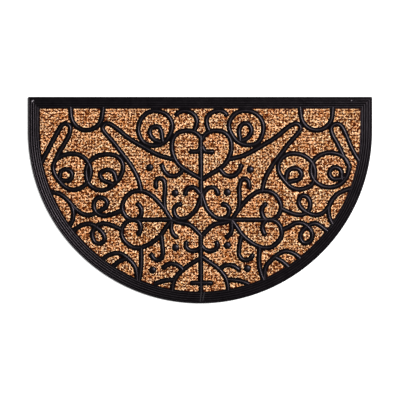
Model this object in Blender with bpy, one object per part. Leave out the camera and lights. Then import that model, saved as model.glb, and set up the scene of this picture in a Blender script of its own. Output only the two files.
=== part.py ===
"""Half-round doormat of moulded rubber and coir, lying flat.

The rubber is one moulding: a thin backing sheet, a border with ridges that follow the outline, scrollwork
bars that bridge the mat from border to border, and round studs that reach down to the backing. The coir is
one sheet of coconut fibre that lies on the backing under the bars. The straight edge is at +Y and the
underside lies on Z = 0.
"""

import math
from collections import namedtuple

import bmesh
import bpy

MM = 0.001

# Outline: a straight edge, two short straight sides and a half circle.
LENGTH = 0.762
DEPTH = 0.4572
RADIUS = LENGTH / 2
ARC_MIDDLE_Y = RADIUS - DEPTH / 2
ARC_STEPS = 44

# Rubber border and backing.
BACKING = 0.002
BORDER = 0.026
RIDGES = 5
RIDGE_PITCH = 0.0048
RIDGE_RISE = 0.0012
BORDER_TOP = 0.010
WALL_DRAFT = 0.0005
LAND = BORDER - RIDGES * RIDGE_PITCH - WALL_DRAFT

# Scrollwork bars: a low section with sloping sides, above the coir.
BAR_WIDTH = 0.0112
BAR_CREST = 0.0052
END_WIDTH = 0.0126
END_CREST = 0.0064
BAR_FOOT = 0.0073
BAR_TOP = 0.0098
BAR_SINK = 0.0035
BEND_STEP = math.radians(31)
CAP_SIDES = 8
WELD = 0.00001
PATTERN_MIDDLE = 0.0033

# Studs stand on stems that pass through the coir.
STUD_WIDTH = 0.0156
STUD_CREST = 0.0090
STEM_WIDTH = 0.0070
STEM_FOOT = 0.0010
STEM_HEAD = 0.0080
STUD_SIDES = 10

# Coir sheet.
COIR_FOOT = BACKING + 0.0003
COIR_TOP = 0.0070
FIT_GAP = 0.0003

# A station is a place that a bar passes: millimetres from the pattern's middle line and from the mat's
# middle height, and the bar's heading there in degrees, 0 towards +X and 90 towards the straight edge. The
# table holds the left half, and the right half mirrors it but for the bars of the next table.
Station = namedtuple("Station", "x y heading")
SCROLLS = {
    # Along the straight edge
    "top_arch": (
        (-290.5, 207, -90), (-289.5, 190, -88), (-254.7, 154.6, 0), (-220, 188, 87), (-218, 207, 90),
    ),
    "outer_hairpin": (
        (-355, 84, 61), (-317.5, 153, 62), (-301.5, 169, 0), (-290.5, 157, -92), (-306, 121.5, -120),
        (-322, 92, -112), (-329.5, 71, -95),
    ),
    "inner_hairpin_top": (
        (-61, 91, 178), (-84, 95.8, 164), (-106, 104.5, 150), (-155, 132.7, 149), (-182, 153.5, 140),
        (-205.5, 169, 162), (-219.3, 159, -92),
    ),
    "inner_hairpin_low": (
        (-219.3, 159, -90), (-212.5, 147, -52), (-184.5, 114, -56), (-158, 79, -56), (-141.8, 50, -65),
        (-134, 19, -80),
    ),
    "top_crook": (
        (-54.5, 189.5, 60), (-37, 197.5, 0), (-14.8, 186.7, -50), (-10.6, 173, -92), (-16, 154.5, -113),
    ),
    # Middle heart
    "heart_lobe": (
        (0, 45, 146), (-43.3, 72, 144), (-60.8, 95, 112), (-65.8, 111.5, 96), (-65.8, 124, 87),
        (-55, 146.5, 42), (-33, 153.5, 3), (-9, 146, -42), (-1, 134, -70),
    ),
    "heart_hook": ((-2, 119, -100), (-10.5, 107.3, -168), (-23.5, 107, 180)),
    "flank_hook": (
        (-87.5, 76.5, -82), (-79, 59.8, -48), (-64.5, 53, 0), (-49.5, 57.5, 43), (-40.5, 68, 50),
    ),
    "upper_stem": ((-1.8, 142, -90), (-1.2, -12, -90)),
    # Between the heart and the border
    "upper_crook": (
        (-101, 29.5, 95), (-100.7, 41.5, 72), (-92, 48, 0), (-82, 39.5, -75), (-81, 24, -91),
        (-82.8, 0, -90), (-82, -14, -82), (-78, -26.5, -62),
    ),
    "stem_crook": ((-36, 14, 85), (-22.5, 28.3, 0), (-7, 19, -60), (-1, 12, -75)),
    "middle_scroll": (
        (-1, 15.5, -90), (-9, -14, -108), (-22.5, -32, -137), (-43, -42.3, 180), (-57.5, -35, 125),
        (-61.5, -22, 88), (-56, -12.5, 45), (-47.5, -9.5, 0),
    ),
    "junction": ((-33, -40.5, 180), (-67, -43.5, 180)),
    "junction_hook": ((-66.5, -47.5, -92), (-67.2, -63.5, -86), (-56, -81.5, -27)),
    "lower_scroll": (
        (-68, -44, -15), (-46, -50.5, -5), (-25, -56, -33), (-11.3, -68, -52), (-1, -80, -70),
    ),
    "lower_curl": ((-1, -101, -110), (-19, -112.7, 180), (-34, -104.5, 117), (-34, -94.5, 72)),
    "lower_crook": (
        (-89.5, -79, -82), (-87, -101, -86), (-85.3, -116, -92), (-97.5, -132.5, 180),
        (-110.5, -121.5, 102),
    ),
    "lower_stem": ((-1.8, -77, -90), (-1.8, -207, -90)),
    # Side heart, its tip towards the middle
    "side_stem": ((-68, -43.4, 180), (-157, -43.6, 180)),
    "side_upper_lobe": (
        (-67, -43, 125), (-90.5, -9.5, 131), (-121.5, 17, 152), (-138, 20.5, 180), (-162, 12.3, -137),
        (-175.8, -14, -95), (-168, -36, -52), (-155, -43.3, -10),
    ),
    "side_upper_curl": ((-143, -43, 20), (-133.4, -30, 75), (-133.3, -20.5, 101), (-141, -9.5, 140)),
    "side_lower_lobe": (
        (-155, -43.7, 190), (-170.5, -52.5, -130), (-177.5, -73, -92), (-158.5, -101.8, -36),
        (-145.5, -106, -5), (-119, -99.5, 27), (-93.3, -80.7, 42), (-77, -58.5, 52), (-67, -45, 50),
    ),
    "side_lower_curl": ((-145, -45, -10), (-134.8, -58, -80), (-139.5, -75, -125)),
    # Waves from the side heart to the border
    "upper_wave": (
        (-343, 18.5, -2), (-314.5, 13.3, -25), (-291, -6.3, -48), (-268, -28.3, -28), (-252, -33.8, 0),
        (-228, -25, 28), (-209.3, -8, 88), (-224, 5.7, 180), (-239, -12, -90), (-217.5, -34.5, -2),
        (-197, -31, 16), (-176, -22.5, 24),
    ),
    "wave_branch": ((-293, -3.5, -55), (-283.7, -28.5, -86), (-286.3, -46.5, -110), (-296, -61, -125)),
    "lower_wave": (
        (-286, -72.5, 52), (-274, -60.2, 32), (-251, -52.8, 0), (-228.5, -63.5, -38),
        (-214.6, -84, -85), (-228, -96.5, 180), (-242.3, -76, 90), (-232, -57, 40), (-214.5, -52.2, 0),
        (-194, -58, -20), (-178, -65.5, -23),
    ),
    # Along the curved edge
    "rim_arch": (
        (-225, -137, 45), (-200, -119.6, 17), (-185.5, -117.4, -4), (-160.5, -132, -42),
        (-145.5, -153, -75), (-143, -178, -88),
    ),
    "rim_spur": ((-199, -151, 52), (-187, -138.8, 42), (-163, -128.3, 18)),
    "drop_bar": ((-134, -104.5, -90), (-133.7, -138, -91), (-139.5, -181, -103)),
    "foot_bar": (
        (-1.5, -128.5, -150), (-33, -147.7, -144), (-54.5, -167.7, -128), (-64, -188, -97),
        (-65, -207, -90),
    ),
    "foot_hook": ((-41, -155, 130), (-50, -145.8, 148), (-66.5, -141, 180), (-84, -149.5, -138)),
    "foot_spur": ((-58, -176.5, 180), (-82, -178.6, -173), (-105, -186.3, -157)),
    "cross_bar": ((-1, -183.5, 180), (-20.5, -183.5, 180)),
    # Eyelets, each open where it runs into its ring
    "outer_eyelet": (
        (-316, 47, 75), (-313, 58, 88), (-300, 68, 0), (-286.8, 56, -90), (-298, 42.4, 180),
        (-314, 44, 170),
    ),
    "inner_eyelet": (
        (-188, 42, 110), (-191.5, 53, 98), (-207, 66.8, 180), (-224.5, 55, -90), (-211, 40.7, -15),
        (-196, 35, -20),
    ),
    "top_eyelet": (
        (-86, 130, 98), (-88.3, 147, 95), (-101, 163, 180), (-115, 150, -90), (-108, 136, -50),
        (-90, 128, -15),
    ),
}

# Bars that run otherwise in the right half, mirrored into the left one's X.
RIGHT_SCROLLS = {
    "outer_hairpin": (
        (-350, 85, 56), (-336, 107.5, 62), (-318.5, 147.5, 65), (-300, 168.6, 0), (-286.6, 156, -95),
        (-299.5, 127, -119), (-318, 90, -119), (-328, 71, -106),
    ),
    "upper_crook": (
        (-105.5, 28.5, 90), (-104, 40.5, 70), (-95, 47, 0), (-85.5, 39, -75), (-83, 24, -90),
        (-84, 2, -90), (-83, -14, -82), (-78.5, -26, -62),
    ),
    "lower_crook": (
        (-89, -79, -75), (-83.5, -103, -86), (-82.3, -117, -92), (-97, -133, 180), (-112, -123, 105),
    ),
    "upper_wave": (
        (-343, 27.5, -10), (-317.5, 21.5, -20), (-297, 10.5, -42), (-283.5, -11, -62),
        (-268.5, -28, -38), (-252, -33.5, 0), (-232, -26.5, 30), (-214.8, -5, 87), (-225.5, 9.7, 180),
        (-240.5, -10, -90), (-219, -32.8, -3), (-201, -29.8, 20), (-178, -19.5, 30),
    ),
    "wave_branch": (
        (-290, 3, -52), (-281, -18, -80), (-281.5, -32, -95), (-287.5, -49, -115), (-297, -62, -128),
    ),
    "lower_wave": (
        (-286, -75, 50), (-268, -60.8, 42), (-250, -52, 0), (-229, -62, -40), (-218.5, -82, -90),
        (-230, -95, 180), (-245.3, -78, 90), (-234, -57.5, 42), (-214, -50, 0), (-196, -57.5, -32),
        (-178, -66.5, -22),
    ),
    "rim_arch": (
        (-226, -137.5, 45), (-202, -117.2, 22), (-184.5, -113.3, -5), (-156, -131.5, -42),
        (-141.5, -150, -72), (-139, -176, -88),
    ),
    "rim_spur": ((-199, -155, 50), (-184, -140.3, 44), (-164, -127.5, 25)),
    "drop_bar": ((-128.5, -104.5, -88), (-126.8, -134, -90), (-130, -157, -102), (-139, -181, -110)),
    "foot_bar": (
        (-1.5, -126.5, -148), (-31, -146.8, -145), (-49, -165.5, -125), (-57.5, -187, -97),
        (-59, -207, -90),
    ),
    "foot_hook": ((-40, -154, 130), (-48.5, -146.4, 150), (-61, -144, 180), (-82, -153.5, -142)),
    "outer_eyelet": (
        (-311, 46, 60), (-310, 59, 88), (-295.7, 72.4, 0), (-283, 58.7, -90), (-296, 46, 180),
        (-317, 50, 165),
    ),
    "inner_eyelet": (
        (-186, 42, 105), (-188, 55, 95), (-204.5, 70.5, 180), (-221.2, 56.5, -90), (-208, 43.5, -8),
        (-190, 38, -25),
    ),
    "top_eyelet": (
        (-85, 131, 95), (-82.8, 152, 92), (-97, 170, 180), (-110.2, 153, -90), (-102, 138.3, -50),
        (-86, 130, -25),
    ),
}

# Bars on the middle line, which both halves share.
SHARED_BARS = ("upper_stem", "lower_stem")

# Bars whose first or last station lies in the border, which trims them.
BORDER_BARS = (
    "top_arch", "outer_hairpin", "lower_stem", "upper_wave", "wave_branch", "lower_wave", "rim_arch",
    "rim_spur", "drop_bar", "foot_bar", "foot_spur",
)

# Free ends, which are rounded, as the first or the last station of their bar.
FREE_ENDS = {
    "top_crook": 0, "heart_hook": -1, "flank_hook": 0, "upper_crook": 0, "stem_crook": 0,
    "middle_scroll": -1, "junction_hook": -1, "lower_curl": -1, "lower_crook": -1,
    "side_upper_curl": -1, "side_lower_curl": -1, "foot_hook": -1, "cross_bar": -1,
}

# Closed rings: their last station leads back to the first.
RINGS = {
    "outer_ring": (
        (-245.5, 62.5, 90), (-285.5, 102.5, 180), (-329, 72, -91), (-313.5, 40, -50), (-285, 22.7, 0),
    ),
    "inner_ring": (
        (-256, 62, 90), (-211, 101.3, 0), (-181, 92, -45), (-173.8, 72, -90), (-181, 50, -118),
        (-197, 33, -138), (-219, 21.7, 180), (-247, 32.5, 133),
    ),
    "top_ring": (
        (-140.3, 156, 90), (-103, 197.3, 0), (-65, 164, -90), (-75, 136.5, -122), (-104, 120.5, 180),
        (-132.5, 132.5, 122),
    ),
}

RIGHT_RINGS = {
    "outer_ring": (
        (-241.8, 66, 90), (-284.5, 105, 180), (-326.3, 72, -90), (-308.5, 36.8, -38), (-282, 28.3, 0),
    ),
    "inner_ring": (
        (-250.8, 62, 90), (-203, 103.2, 0), (-169.3, 71, -90), (-182.5, 44, -128), (-214, 23.6, 180),
        (-241, 31.7, 143),
    ),
    "top_ring": (
        (-137, 160, 90), (-97, 198, 0), (-60.3, 164, -90), (-72.5, 136.5, -125), (-107, 121.5, 180),
        (-131, 136, 117),
    ),
}

# Studs: the middle of each, in millimetres.
STUDS = ((-114.7, 72.2), (-58.5, 15.6), (-57.6, -104.9), (-108.4, -154.9))
RIGHT_STUDS = ((-107.7, 67.7), (-57.2, 17.2), (-57, -100.2), (-101.3, -151.3))


def clear_scene():
    """Remove every object of the open scene."""
    for obj in list(bpy.data.objects):
        bpy.data.objects.remove(obj, do_unlink=True)


def new_collection(name):
    """Make a collection under the scene's own."""
    collection = bpy.data.collections.new(name)
    bpy.context.scene.collection.children.link(collection)
    return collection


def make_material(name, color, roughness):
    """Make a plain Principled material."""
    material = bpy.data.materials.new(name)
    material.use_nodes = True
    shader = material.node_tree.nodes["Principled BSDF"]
    shader.inputs["Base Color"].default_value = (*color, 1.0)
    shader.inputs["Roughness"].default_value = roughness
    shader.inputs["Metallic"].default_value = 0.0
    return material


def add_object(name, mesh, collection):
    """Put a mesh in the scene."""
    obj = bpy.data.objects.new(name, mesh)
    collection.objects.link(obj)
    return obj


def mark_as_cutter(obj):
    """Show a cutter or an operand as a wire that isn't rendered."""
    obj.hide_render = True
    obj.display_type = "WIRE"


def outline(inset):
        
    reach = RADIUS - inset
    corner_y = DEPTH / 2 - inset
    points = [(reach, corner_y), (-reach, corner_y)]
    for step in range(ARC_STEPS + 1):
        turn = math.pi * (1 + step / ARC_STEPS)
        points.append((reach * math.cos(turn), ARC_MIDDLE_Y + reach * math.sin(turn)))
    return points


def plate(name, inset, foot, top):
    """Mesh of a flat plate of the mat's outline, and nothing else."""
    bm = bmesh.new()
    floor = bm.faces.new([bm.verts.new((x, y, foot)) for x, y in outline(inset)])
    risen = bmesh.ops.extrude_face_region(bm, geom=[floor])["geom"]
    verts = [item for item in risen if isinstance(item, bmesh.types.BMVert)]
    bmesh.ops.translate(bm, verts=verts, vec=(0, 0, top - foot))
    bmesh.ops.recalc_face_normals(bm, faces=bm.faces)
    mesh = bpy.data.meshes.new(name)
    bm.to_mesh(mesh)
    bm.free()
    return mesh


def ridge_the_border(mesh):
    """Cut the ridges and the well of the border into a plate's top, ring by ring."""
    bm = bmesh.new()
    bm.from_mesh(mesh)
    top = max(bm.faces, key=lambda face: face.calc_center_median().z)
    half = RIDGE_PITCH / 2
    steps = [(half, RIDGE_RISE), (half, -RIDGE_RISE)] * RIDGES
    steps += [(LAND, RIDGE_RISE), (WALL_DRAFT, BACKING - BORDER_TOP)]
    for width, rise in steps:
        bmesh.ops.inset_region(bm, faces=[top], use_even_offset=True, thickness=width, depth=rise)
    bm.to_mesh(mesh)
    bm.free()


def bend(start, end):
    """Points of a smooth bend between two stations, without its first point."""
    width, height = end.x - start.x, end.y - start.y
    chord = math.hypot(width, height)
    course = math.atan2(height, width)
    headings = [math.radians(station.heading) for station in (start, end)]
    turn = sum(abs(math.remainder(heading - course, math.tau)) for heading in headings)
    reach = chord / 3
    if turn > BEND_STEP / 4:
        reach = chord * (2 / 3) * math.tan(turn / 4) / math.sin(turn / 2)
    handles = (
        (start.x, start.y),
        (start.x + reach * math.cos(headings[0]), start.y + reach * math.sin(headings[0])),
        (end.x - reach * math.cos(headings[1]), end.y - reach * math.sin(headings[1])),
        (end.x, end.y),
    )
    steps = max(1, math.ceil(turn / BEND_STEP))
    points = []
    for step in range(1, steps + 1):
        t = step / steps
        weights = ((1 - t) ** 3, 3 * t * (1 - t) ** 2, 3 * t * t * (1 - t), t ** 3)
        points.append(tuple(sum(w * h[axis] for w, h in zip(weights, handles)) for axis in (0, 1)))
    return points


def scroll_points(rows):
    """Middle line of a bar, in millimetres."""
    stations = [Station(*row) for row in rows]
    points = [(stations[0].x, stations[0].y)]
    for start, end in zip(stations, stations[1:]):
        points += bend(start, end)
    return points


def place(points, side):
    """Points of the table in metres, on the left side of the mat for -1 and on the right for 1."""
    return [(PATTERN_MIDDLE - side * x * MM, y * MM) for x, y in points]


def bar_section(collection):
    """Section of a bar: a flat foot, two sloping sides and a flat crest."""
    curve = bpy.data.curves.new("bar_section", "CURVE")
    curve.dimensions = "2D"
    rise = BAR_TOP - BAR_FOOT
    corners = [(-BAR_WIDTH / 2, 0), (BAR_WIDTH / 2, 0), (BAR_CREST / 2, rise), (-BAR_CREST / 2, rise)]
    spline = curve.splines.new("POLY")
    spline.points.add(len(corners) - 1)
    for point, (across, up) in zip(spline.points, corners):
        point.co = (across, up, 0, 1)
    spline.use_cyclic_u = True
    section = bpy.data.objects.new("bar_section", curve)
    collection.objects.link(section)
    mark_as_cutter(section)
    return section


def swept_bar(name, points, closed, section, collection):
    """Mesh object of a bar: its section swept along a flat line, as one closed body."""
    curve = bpy.data.curves.new(name, "CURVE")
    curve.dimensions = "2D"
    curve.fill_mode = "NONE"
    curve.bevel_mode = "OBJECT"
    curve.bevel_object = section
    curve.use_fill_caps = True
    spline = curve.splines.new("POLY")
    spline.points.add(len(points) - 1)
    for point, (x, y) in zip(spline.points, points):
        point.co = (x, y, 0, 1)
    spline.use_cyclic_u = closed
    swept = bpy.data.objects.new(name, curve)
    collection.objects.link(swept)
    bpy.context.view_layer.update()
    evaluated = swept.evaluated_get(bpy.context.evaluated_depsgraph_get())
    mesh = bpy.data.meshes.new_from_object(evaluated)
    bpy.data.objects.remove(swept, do_unlink=True)
    bm = bmesh.new()
    bm.from_mesh(mesh)
    bmesh.ops.remove_doubles(bm, verts=bm.verts, dist=WELD)
    bmesh.ops.translate(bm, verts=bm.verts, vec=(0, 0, BAR_FOOT))
    bmesh.ops.recalc_face_normals(bm, faces=bm.faces)
    bm.to_mesh(mesh)
    bm.free()
    bar = add_object(name, mesh, collection)
    mark_as_cutter(bar)
    return bar


def tapered_round(name, middle, widths, levels, sides, collection):
    """Round piece between two levels, as wide as said at each."""
    bm = bmesh.new()
    foot, top = (width / 2 for width in widths)
    height = levels[1] - levels[0]
    bmesh.ops.create_cone(bm, cap_ends=True, segments=sides, radius1=foot, radius2=top, depth=height)
    bmesh.ops.translate(bm, verts=bm.verts, vec=(*middle, levels[0] + height / 2))
    mesh = bpy.data.meshes.new(name)
    bm.to_mesh(mesh)
    bm.free()
    piece = add_object(name, mesh, collection)
    mark_as_cutter(piece)
    return piece


def combine(obj, operation, operand=None, collection=None):
    """Join or cut an object with another object or with a whole collection."""
    modifier = obj.modifiers.new(operation.lower(), "BOOLEAN")
    modifier.operation = operation
    modifier.solver = "EXACT"
    if collection is None:
        modifier.object = operand
    else:
        modifier.operand_type = "COLLECTION"
        modifier.collection = collection


def scrollwork(side, trim, section, bars):
    """Every bar, rounded end and ring of one half of the pattern."""
    hand = "left" if side < 0 else "right"
    scrolls = SCROLLS if side < 0 else {**SCROLLS, **RIGHT_SCROLLS}
    for name, rows in scrolls.items():
        if side > 0 and name in SHARED_BARS:
            continue
        points = place(scroll_points(rows), side)
        bar = swept_bar(f"{name}_{hand}", points, False, section, bars)
        if name in BORDER_BARS:
            combine(bar, "INTERSECT", trim)
        if name in FREE_ENDS:
            end = points[FREE_ENDS[name]]
            widths, levels = (END_WIDTH, END_CREST), (BAR_FOOT, BAR_TOP)
            tapered_round(f"{name}_end_{hand}", end, widths, levels, CAP_SIDES, bars)
    for name, rows in (RINGS if side < 0 else RIGHT_RINGS).items():
        loop = scroll_points((*rows, rows[0]))[:-1]
        swept_bar(f"{name}_{hand}", place(loop, side), True, section, bars)


def studs(side, bars, stems):
    """Studs and stems of one half, and the holes that the stems need in the coir."""
    hand = "left" if side < 0 else "right"
    for number, middle in enumerate(place(STUDS if side < 0 else RIGHT_STUDS, side), start=1):
        head = (STUD_WIDTH, STUD_CREST), (BAR_FOOT, BAR_TOP)
        stem = (STEM_WIDTH, STEM_WIDTH), (STEM_FOOT, STEM_HEAD)
        hole_width = STEM_WIDTH + 2 * FIT_GAP
        hole = (hole_width, hole_width), (BACKING / 2, BAR_TOP)
        tapered_round(f"stud_{number}_{hand}", middle, *head, STUD_SIDES, bars)
        tapered_round(f"stem_{number}_{hand}", middle, *stem, STUD_SIDES, bars)
        tapered_round(f"hole_{number}_{hand}", middle, *hole, STUD_SIDES, stems)


def build():
    """Build the rubber moulding and the coir sheet."""
    clear_scene()
    mat = new_collection("half_round_doormat")
    bars = new_collection("scrollwork_bars")
    stems = new_collection("stem_holes")
    guides = new_collection("guides")

    rubber = add_object("rubber_moulding", plate("rubber_moulding", 0, 0, BORDER_TOP - RIDGE_RISE), mat)
    ridge_the_border(rubber.data)
    trim = add_object("border_trim", plate("border_trim", BORDER - BAR_SINK, 0, 2 * BORDER_TOP), guides)
    mark_as_cutter(trim)
    section = bar_section(guides)
    for side in (-1, 1):
        scrollwork(side, trim, section, bars)
        studs(side, bars, stems)
    combine(rubber, "UNION", collection=bars)
    rubber.data.materials.append(make_material("black_rubber", (0.012, 0.010, 0.012), 0.5))

    coir_inset = BORDER + FIT_GAP
    coir = add_object("coir_sheet", plate("coir_sheet", coir_inset, COIR_FOOT, COIR_TOP), mat)
    combine(coir, "DIFFERENCE", collection=stems)
    coir.data.materials.append(make_material("tan_coir", (0.52, 0.24, 0.09), 0.95))


build()
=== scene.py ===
"""Looks of a half-round doormat: black moulded rubber with raised scrollwork over a bed of coir fibre.

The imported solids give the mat's sizes and place. This script models the finer forms that stand for them: the
rounded ridges of the border, the domed scroll bars and studs, the lumpy coir bed and the fibres that lie on
it. Lengths are in metres, but for the tables of the pattern, and the straight edge of the mat is at +Y.
"""

import logging
import math
from dataclasses import dataclass, field
from enum import Enum
from typing import NamedTuple

import bmesh
import bpy
import numpy as np
from mathutils import Matrix, Vector
from mathutils.kdtree import KDTree

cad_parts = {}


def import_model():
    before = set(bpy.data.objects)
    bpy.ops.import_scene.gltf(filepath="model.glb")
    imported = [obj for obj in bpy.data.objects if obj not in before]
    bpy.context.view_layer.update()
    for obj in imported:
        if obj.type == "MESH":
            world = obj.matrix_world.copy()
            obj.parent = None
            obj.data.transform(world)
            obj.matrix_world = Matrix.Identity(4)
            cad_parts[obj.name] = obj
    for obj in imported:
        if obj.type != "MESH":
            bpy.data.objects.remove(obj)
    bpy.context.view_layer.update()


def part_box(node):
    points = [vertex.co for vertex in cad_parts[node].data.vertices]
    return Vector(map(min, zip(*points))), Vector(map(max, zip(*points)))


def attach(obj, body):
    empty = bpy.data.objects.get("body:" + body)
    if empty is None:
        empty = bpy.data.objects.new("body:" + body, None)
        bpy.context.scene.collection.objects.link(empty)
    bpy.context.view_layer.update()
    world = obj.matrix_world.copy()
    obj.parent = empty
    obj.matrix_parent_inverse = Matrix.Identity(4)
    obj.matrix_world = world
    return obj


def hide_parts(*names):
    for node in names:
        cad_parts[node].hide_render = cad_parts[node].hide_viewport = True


LOG = logging.getLogger("doormat")
MM = 0.001
BODY = "root"
SEED = 2711

Colour = tuple[float, float, float]


class Side(Enum):
    """A half of the scroll pattern, with the direction of its table's X."""

    LEFT = 1
    RIGHT = -1


class FreeEnd(Enum):
    """The end of a bar that stops on the coir and is rounded."""

    NONE = "none"
    FIRST = "first"
    LAST = "last"


class Station(NamedTuple):
    """A place that a bar passes.

    Attributes:
        x: Millimetres from the pattern's middle line, negative in the left half.
        y: Millimetres from the mat's middle height.
        heading: Degrees, 0 towards +X and 90 towards the straight edge.
    """

    x: float
    y: float
    heading: float


class Spot(NamedTuple):
    """The middle of a stud, in millimetres."""

    x: float
    y: float


# Stations of each bar of the left half. The right half mirrors them, but for those in RIGHT_SCROLLS.
SCROLLS = {
    # Along the straight edge
    "top_arch": (
        (-290.5, 207, -90), (-289.5, 190, -88), (-254.7, 154.6, 0), (-220, 188, 87),
        (-218, 207, 90),
    ),
    "outer_hairpin": (
        (-355, 84, 61), (-317.5, 153, 62), (-301.5, 169, 0), (-290.5, 157, -92),
        (-306, 121.5, -120), (-322, 92, -112), (-329.5, 71, -95),
    ),
    "inner_hairpin_top": (
        (-61, 91, 178), (-84, 95.8, 164), (-106, 104.5, 150), (-155, 132.7, 149),
        (-182, 153.5, 140), (-205.5, 169, 162), (-219.3, 159, -92),
    ),
    "inner_hairpin_low": (
        (-219.3, 159, -90), (-212.5, 147, -52), (-184.5, 114, -56), (-158, 79, -56),
        (-141.8, 50, -65), (-134, 19, -80),
    ),
    "top_crook": (
        (-54.5, 189.5, 60), (-37, 197.5, 0), (-14.8, 186.7, -50), (-10.6, 173, -92),
        (-16, 154.5, -113),
    ),
    # Middle heart
    "heart_lobe": (
        (0, 45, 146), (-43.3, 72, 144), (-60.8, 95, 112), (-65.8, 111.5, 96), (-65.8, 124, 87),
        (-55, 146.5, 42), (-33, 153.5, 3), (-9, 146, -42), (-1, 134, -70),
    ),
    "heart_hook": ((-2, 119, -100), (-10.5, 107.3, -168), (-23.5, 107, 180)),
    "flank_hook": (
        (-87.5, 76.5, -82), (-79, 59.8, -48), (-64.5, 53, 0), (-49.5, 57.5, 43), (-40.5, 68, 50),
    ),
    "upper_stem": ((-1.8, 142, -90), (-1.2, -12, -90)),
    # Between the heart and the border
    "upper_crook": (
        (-101, 29.5, 95), (-100.7, 41.5, 72), (-92, 48, 0), (-82, 39.5, -75), (-81, 24, -91),
        (-82.8, 0, -90), (-82, -14, -82), (-78, -26.5, -62),
    ),
    "stem_crook": ((-36, 14, 85), (-22.5, 28.3, 0), (-7, 19, -60), (-1, 12, -75)),
    "middle_scroll": (
        (-1, 15.5, -90), (-9, -14, -108), (-22.5, -32, -137), (-43, -42.3, 180), (-57.5, -35, 125),
        (-61.5, -22, 88), (-56, -12.5, 45), (-47.5, -9.5, 0),
    ),
    "junction": ((-33, -40.5, 180), (-67, -43.5, 180)),
    "junction_hook": ((-66.5, -47.5, -92), (-67.2, -63.5, -86), (-56, -81.5, -27)),
    "lower_scroll": (
        (-68, -44, -15), (-46, -50.5, -5), (-25, -56, -33), (-11.3, -68, -52), (-1, -80, -70),
    ),
    "lower_curl": ((-1, -101, -110), (-19, -112.7, 180), (-34, -104.5, 117), (-34, -94.5, 72)),
    "lower_crook": (
        (-89.5, -79, -82), (-87, -101, -86), (-85.3, -116, -92), (-97.5, -132.5, 180),
        (-110.5, -121.5, 102),
    ),
    "lower_stem": ((-1.8, -77, -90), (-1.8, -207, -90)),
    # Side heart, its tip towards the middle
    "side_stem": ((-68, -43.4, 180), (-157, -43.6, 180)),
    "side_upper_lobe": (
        (-67, -43, 125), (-90.5, -9.5, 131), (-121.5, 17, 152), (-138, 20.5, 180),
        (-162, 12.3, -137), (-175.8, -14, -95), (-168, -36, -52), (-155, -43.3, -10),
    ),
    "side_upper_curl": (
        (-143, -43, 20), (-133.4, -30, 75), (-133.3, -20.5, 101), (-141, -9.5, 140),
    ),
    "side_lower_lobe": (
        (-155, -43.7, 190), (-170.5, -52.5, -130), (-177.5, -73, -92), (-158.5, -101.8, -36),
        (-145.5, -106, -5), (-119, -99.5, 27), (-93.3, -80.7, 42), (-77, -58.5, 52), (-67, -45, 50),
    ),
    "side_lower_curl": ((-145, -45, -10), (-134.8, -58, -80), (-139.5, -75, -125)),
    # Waves from the side heart to the border
    "upper_wave": (
        (-343, 18.5, -2), (-314.5, 13.3, -25), (-291, -6.3, -48), (-268, -28.3, -28),
        (-252, -33.8, 0), (-228, -25, 28), (-209.3, -8, 88), (-224, 5.7, 180), (-239, -12, -90),
        (-217.5, -34.5, -2), (-197, -31, 16), (-176, -22.5, 24),
    ),
    "wave_branch": (
        (-293, -3.5, -55), (-283.7, -28.5, -86), (-286.3, -46.5, -110), (-296, -61, -125),
    ),
    "lower_wave": (
        (-286, -72.5, 52), (-274, -60.2, 32), (-251, -52.8, 0), (-228.5, -63.5, -38),
        (-214.6, -84, -85), (-228, -96.5, 180), (-242.3, -76, 90), (-232, -57, 40),
        (-214.5, -52.2, 0), (-194, -58, -20), (-178, -65.5, -23),
    ),
    # Along the curved edge
    "rim_arch": (
        (-225, -137, 45), (-200, -119.6, 17), (-185.5, -117.4, -4), (-160.5, -132, -42),
        (-145.5, -153, -75), (-143, -178, -88),
    ),
    "rim_spur": ((-199, -151, 52), (-187, -138.8, 42), (-163, -128.3, 18)),
    "drop_bar": ((-134, -104.5, -90), (-133.7, -138, -91), (-139.5, -181, -103)),
    "foot_bar": (
        (-1.5, -128.5, -150), (-33, -147.7, -144), (-54.5, -167.7, -128), (-64, -188, -97),
        (-65, -207, -90),
    ),
    "foot_hook": ((-41, -155, 130), (-50, -145.8, 148), (-66.5, -141, 180), (-84, -149.5, -138)),
    "foot_spur": ((-58, -176.5, 180), (-82, -178.6, -173), (-105, -186.3, -157)),
    "cross_bar": ((-1, -183.5, 180), (-20.5, -183.5, 180)),
    # Eyelets, each open where it runs into its ring
    "outer_eyelet": (
        (-316, 47, 75), (-313, 58, 88), (-300, 68, 0), (-286.8, 56, -90), (-298, 42.4, 180),
        (-314, 44, 170),
    ),
    "inner_eyelet": (
        (-188, 42, 110), (-191.5, 53, 98), (-207, 66.8, 180), (-224.5, 55, -90), (-211, 40.7, -15),
        (-196, 35, -20),
    ),
    "top_eyelet": (
        (-86, 130, 98), (-88.3, 147, 95), (-101, 163, 180), (-115, 150, -90), (-108, 136, -50),
        (-90, 128, -15),
    ),
}

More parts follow.
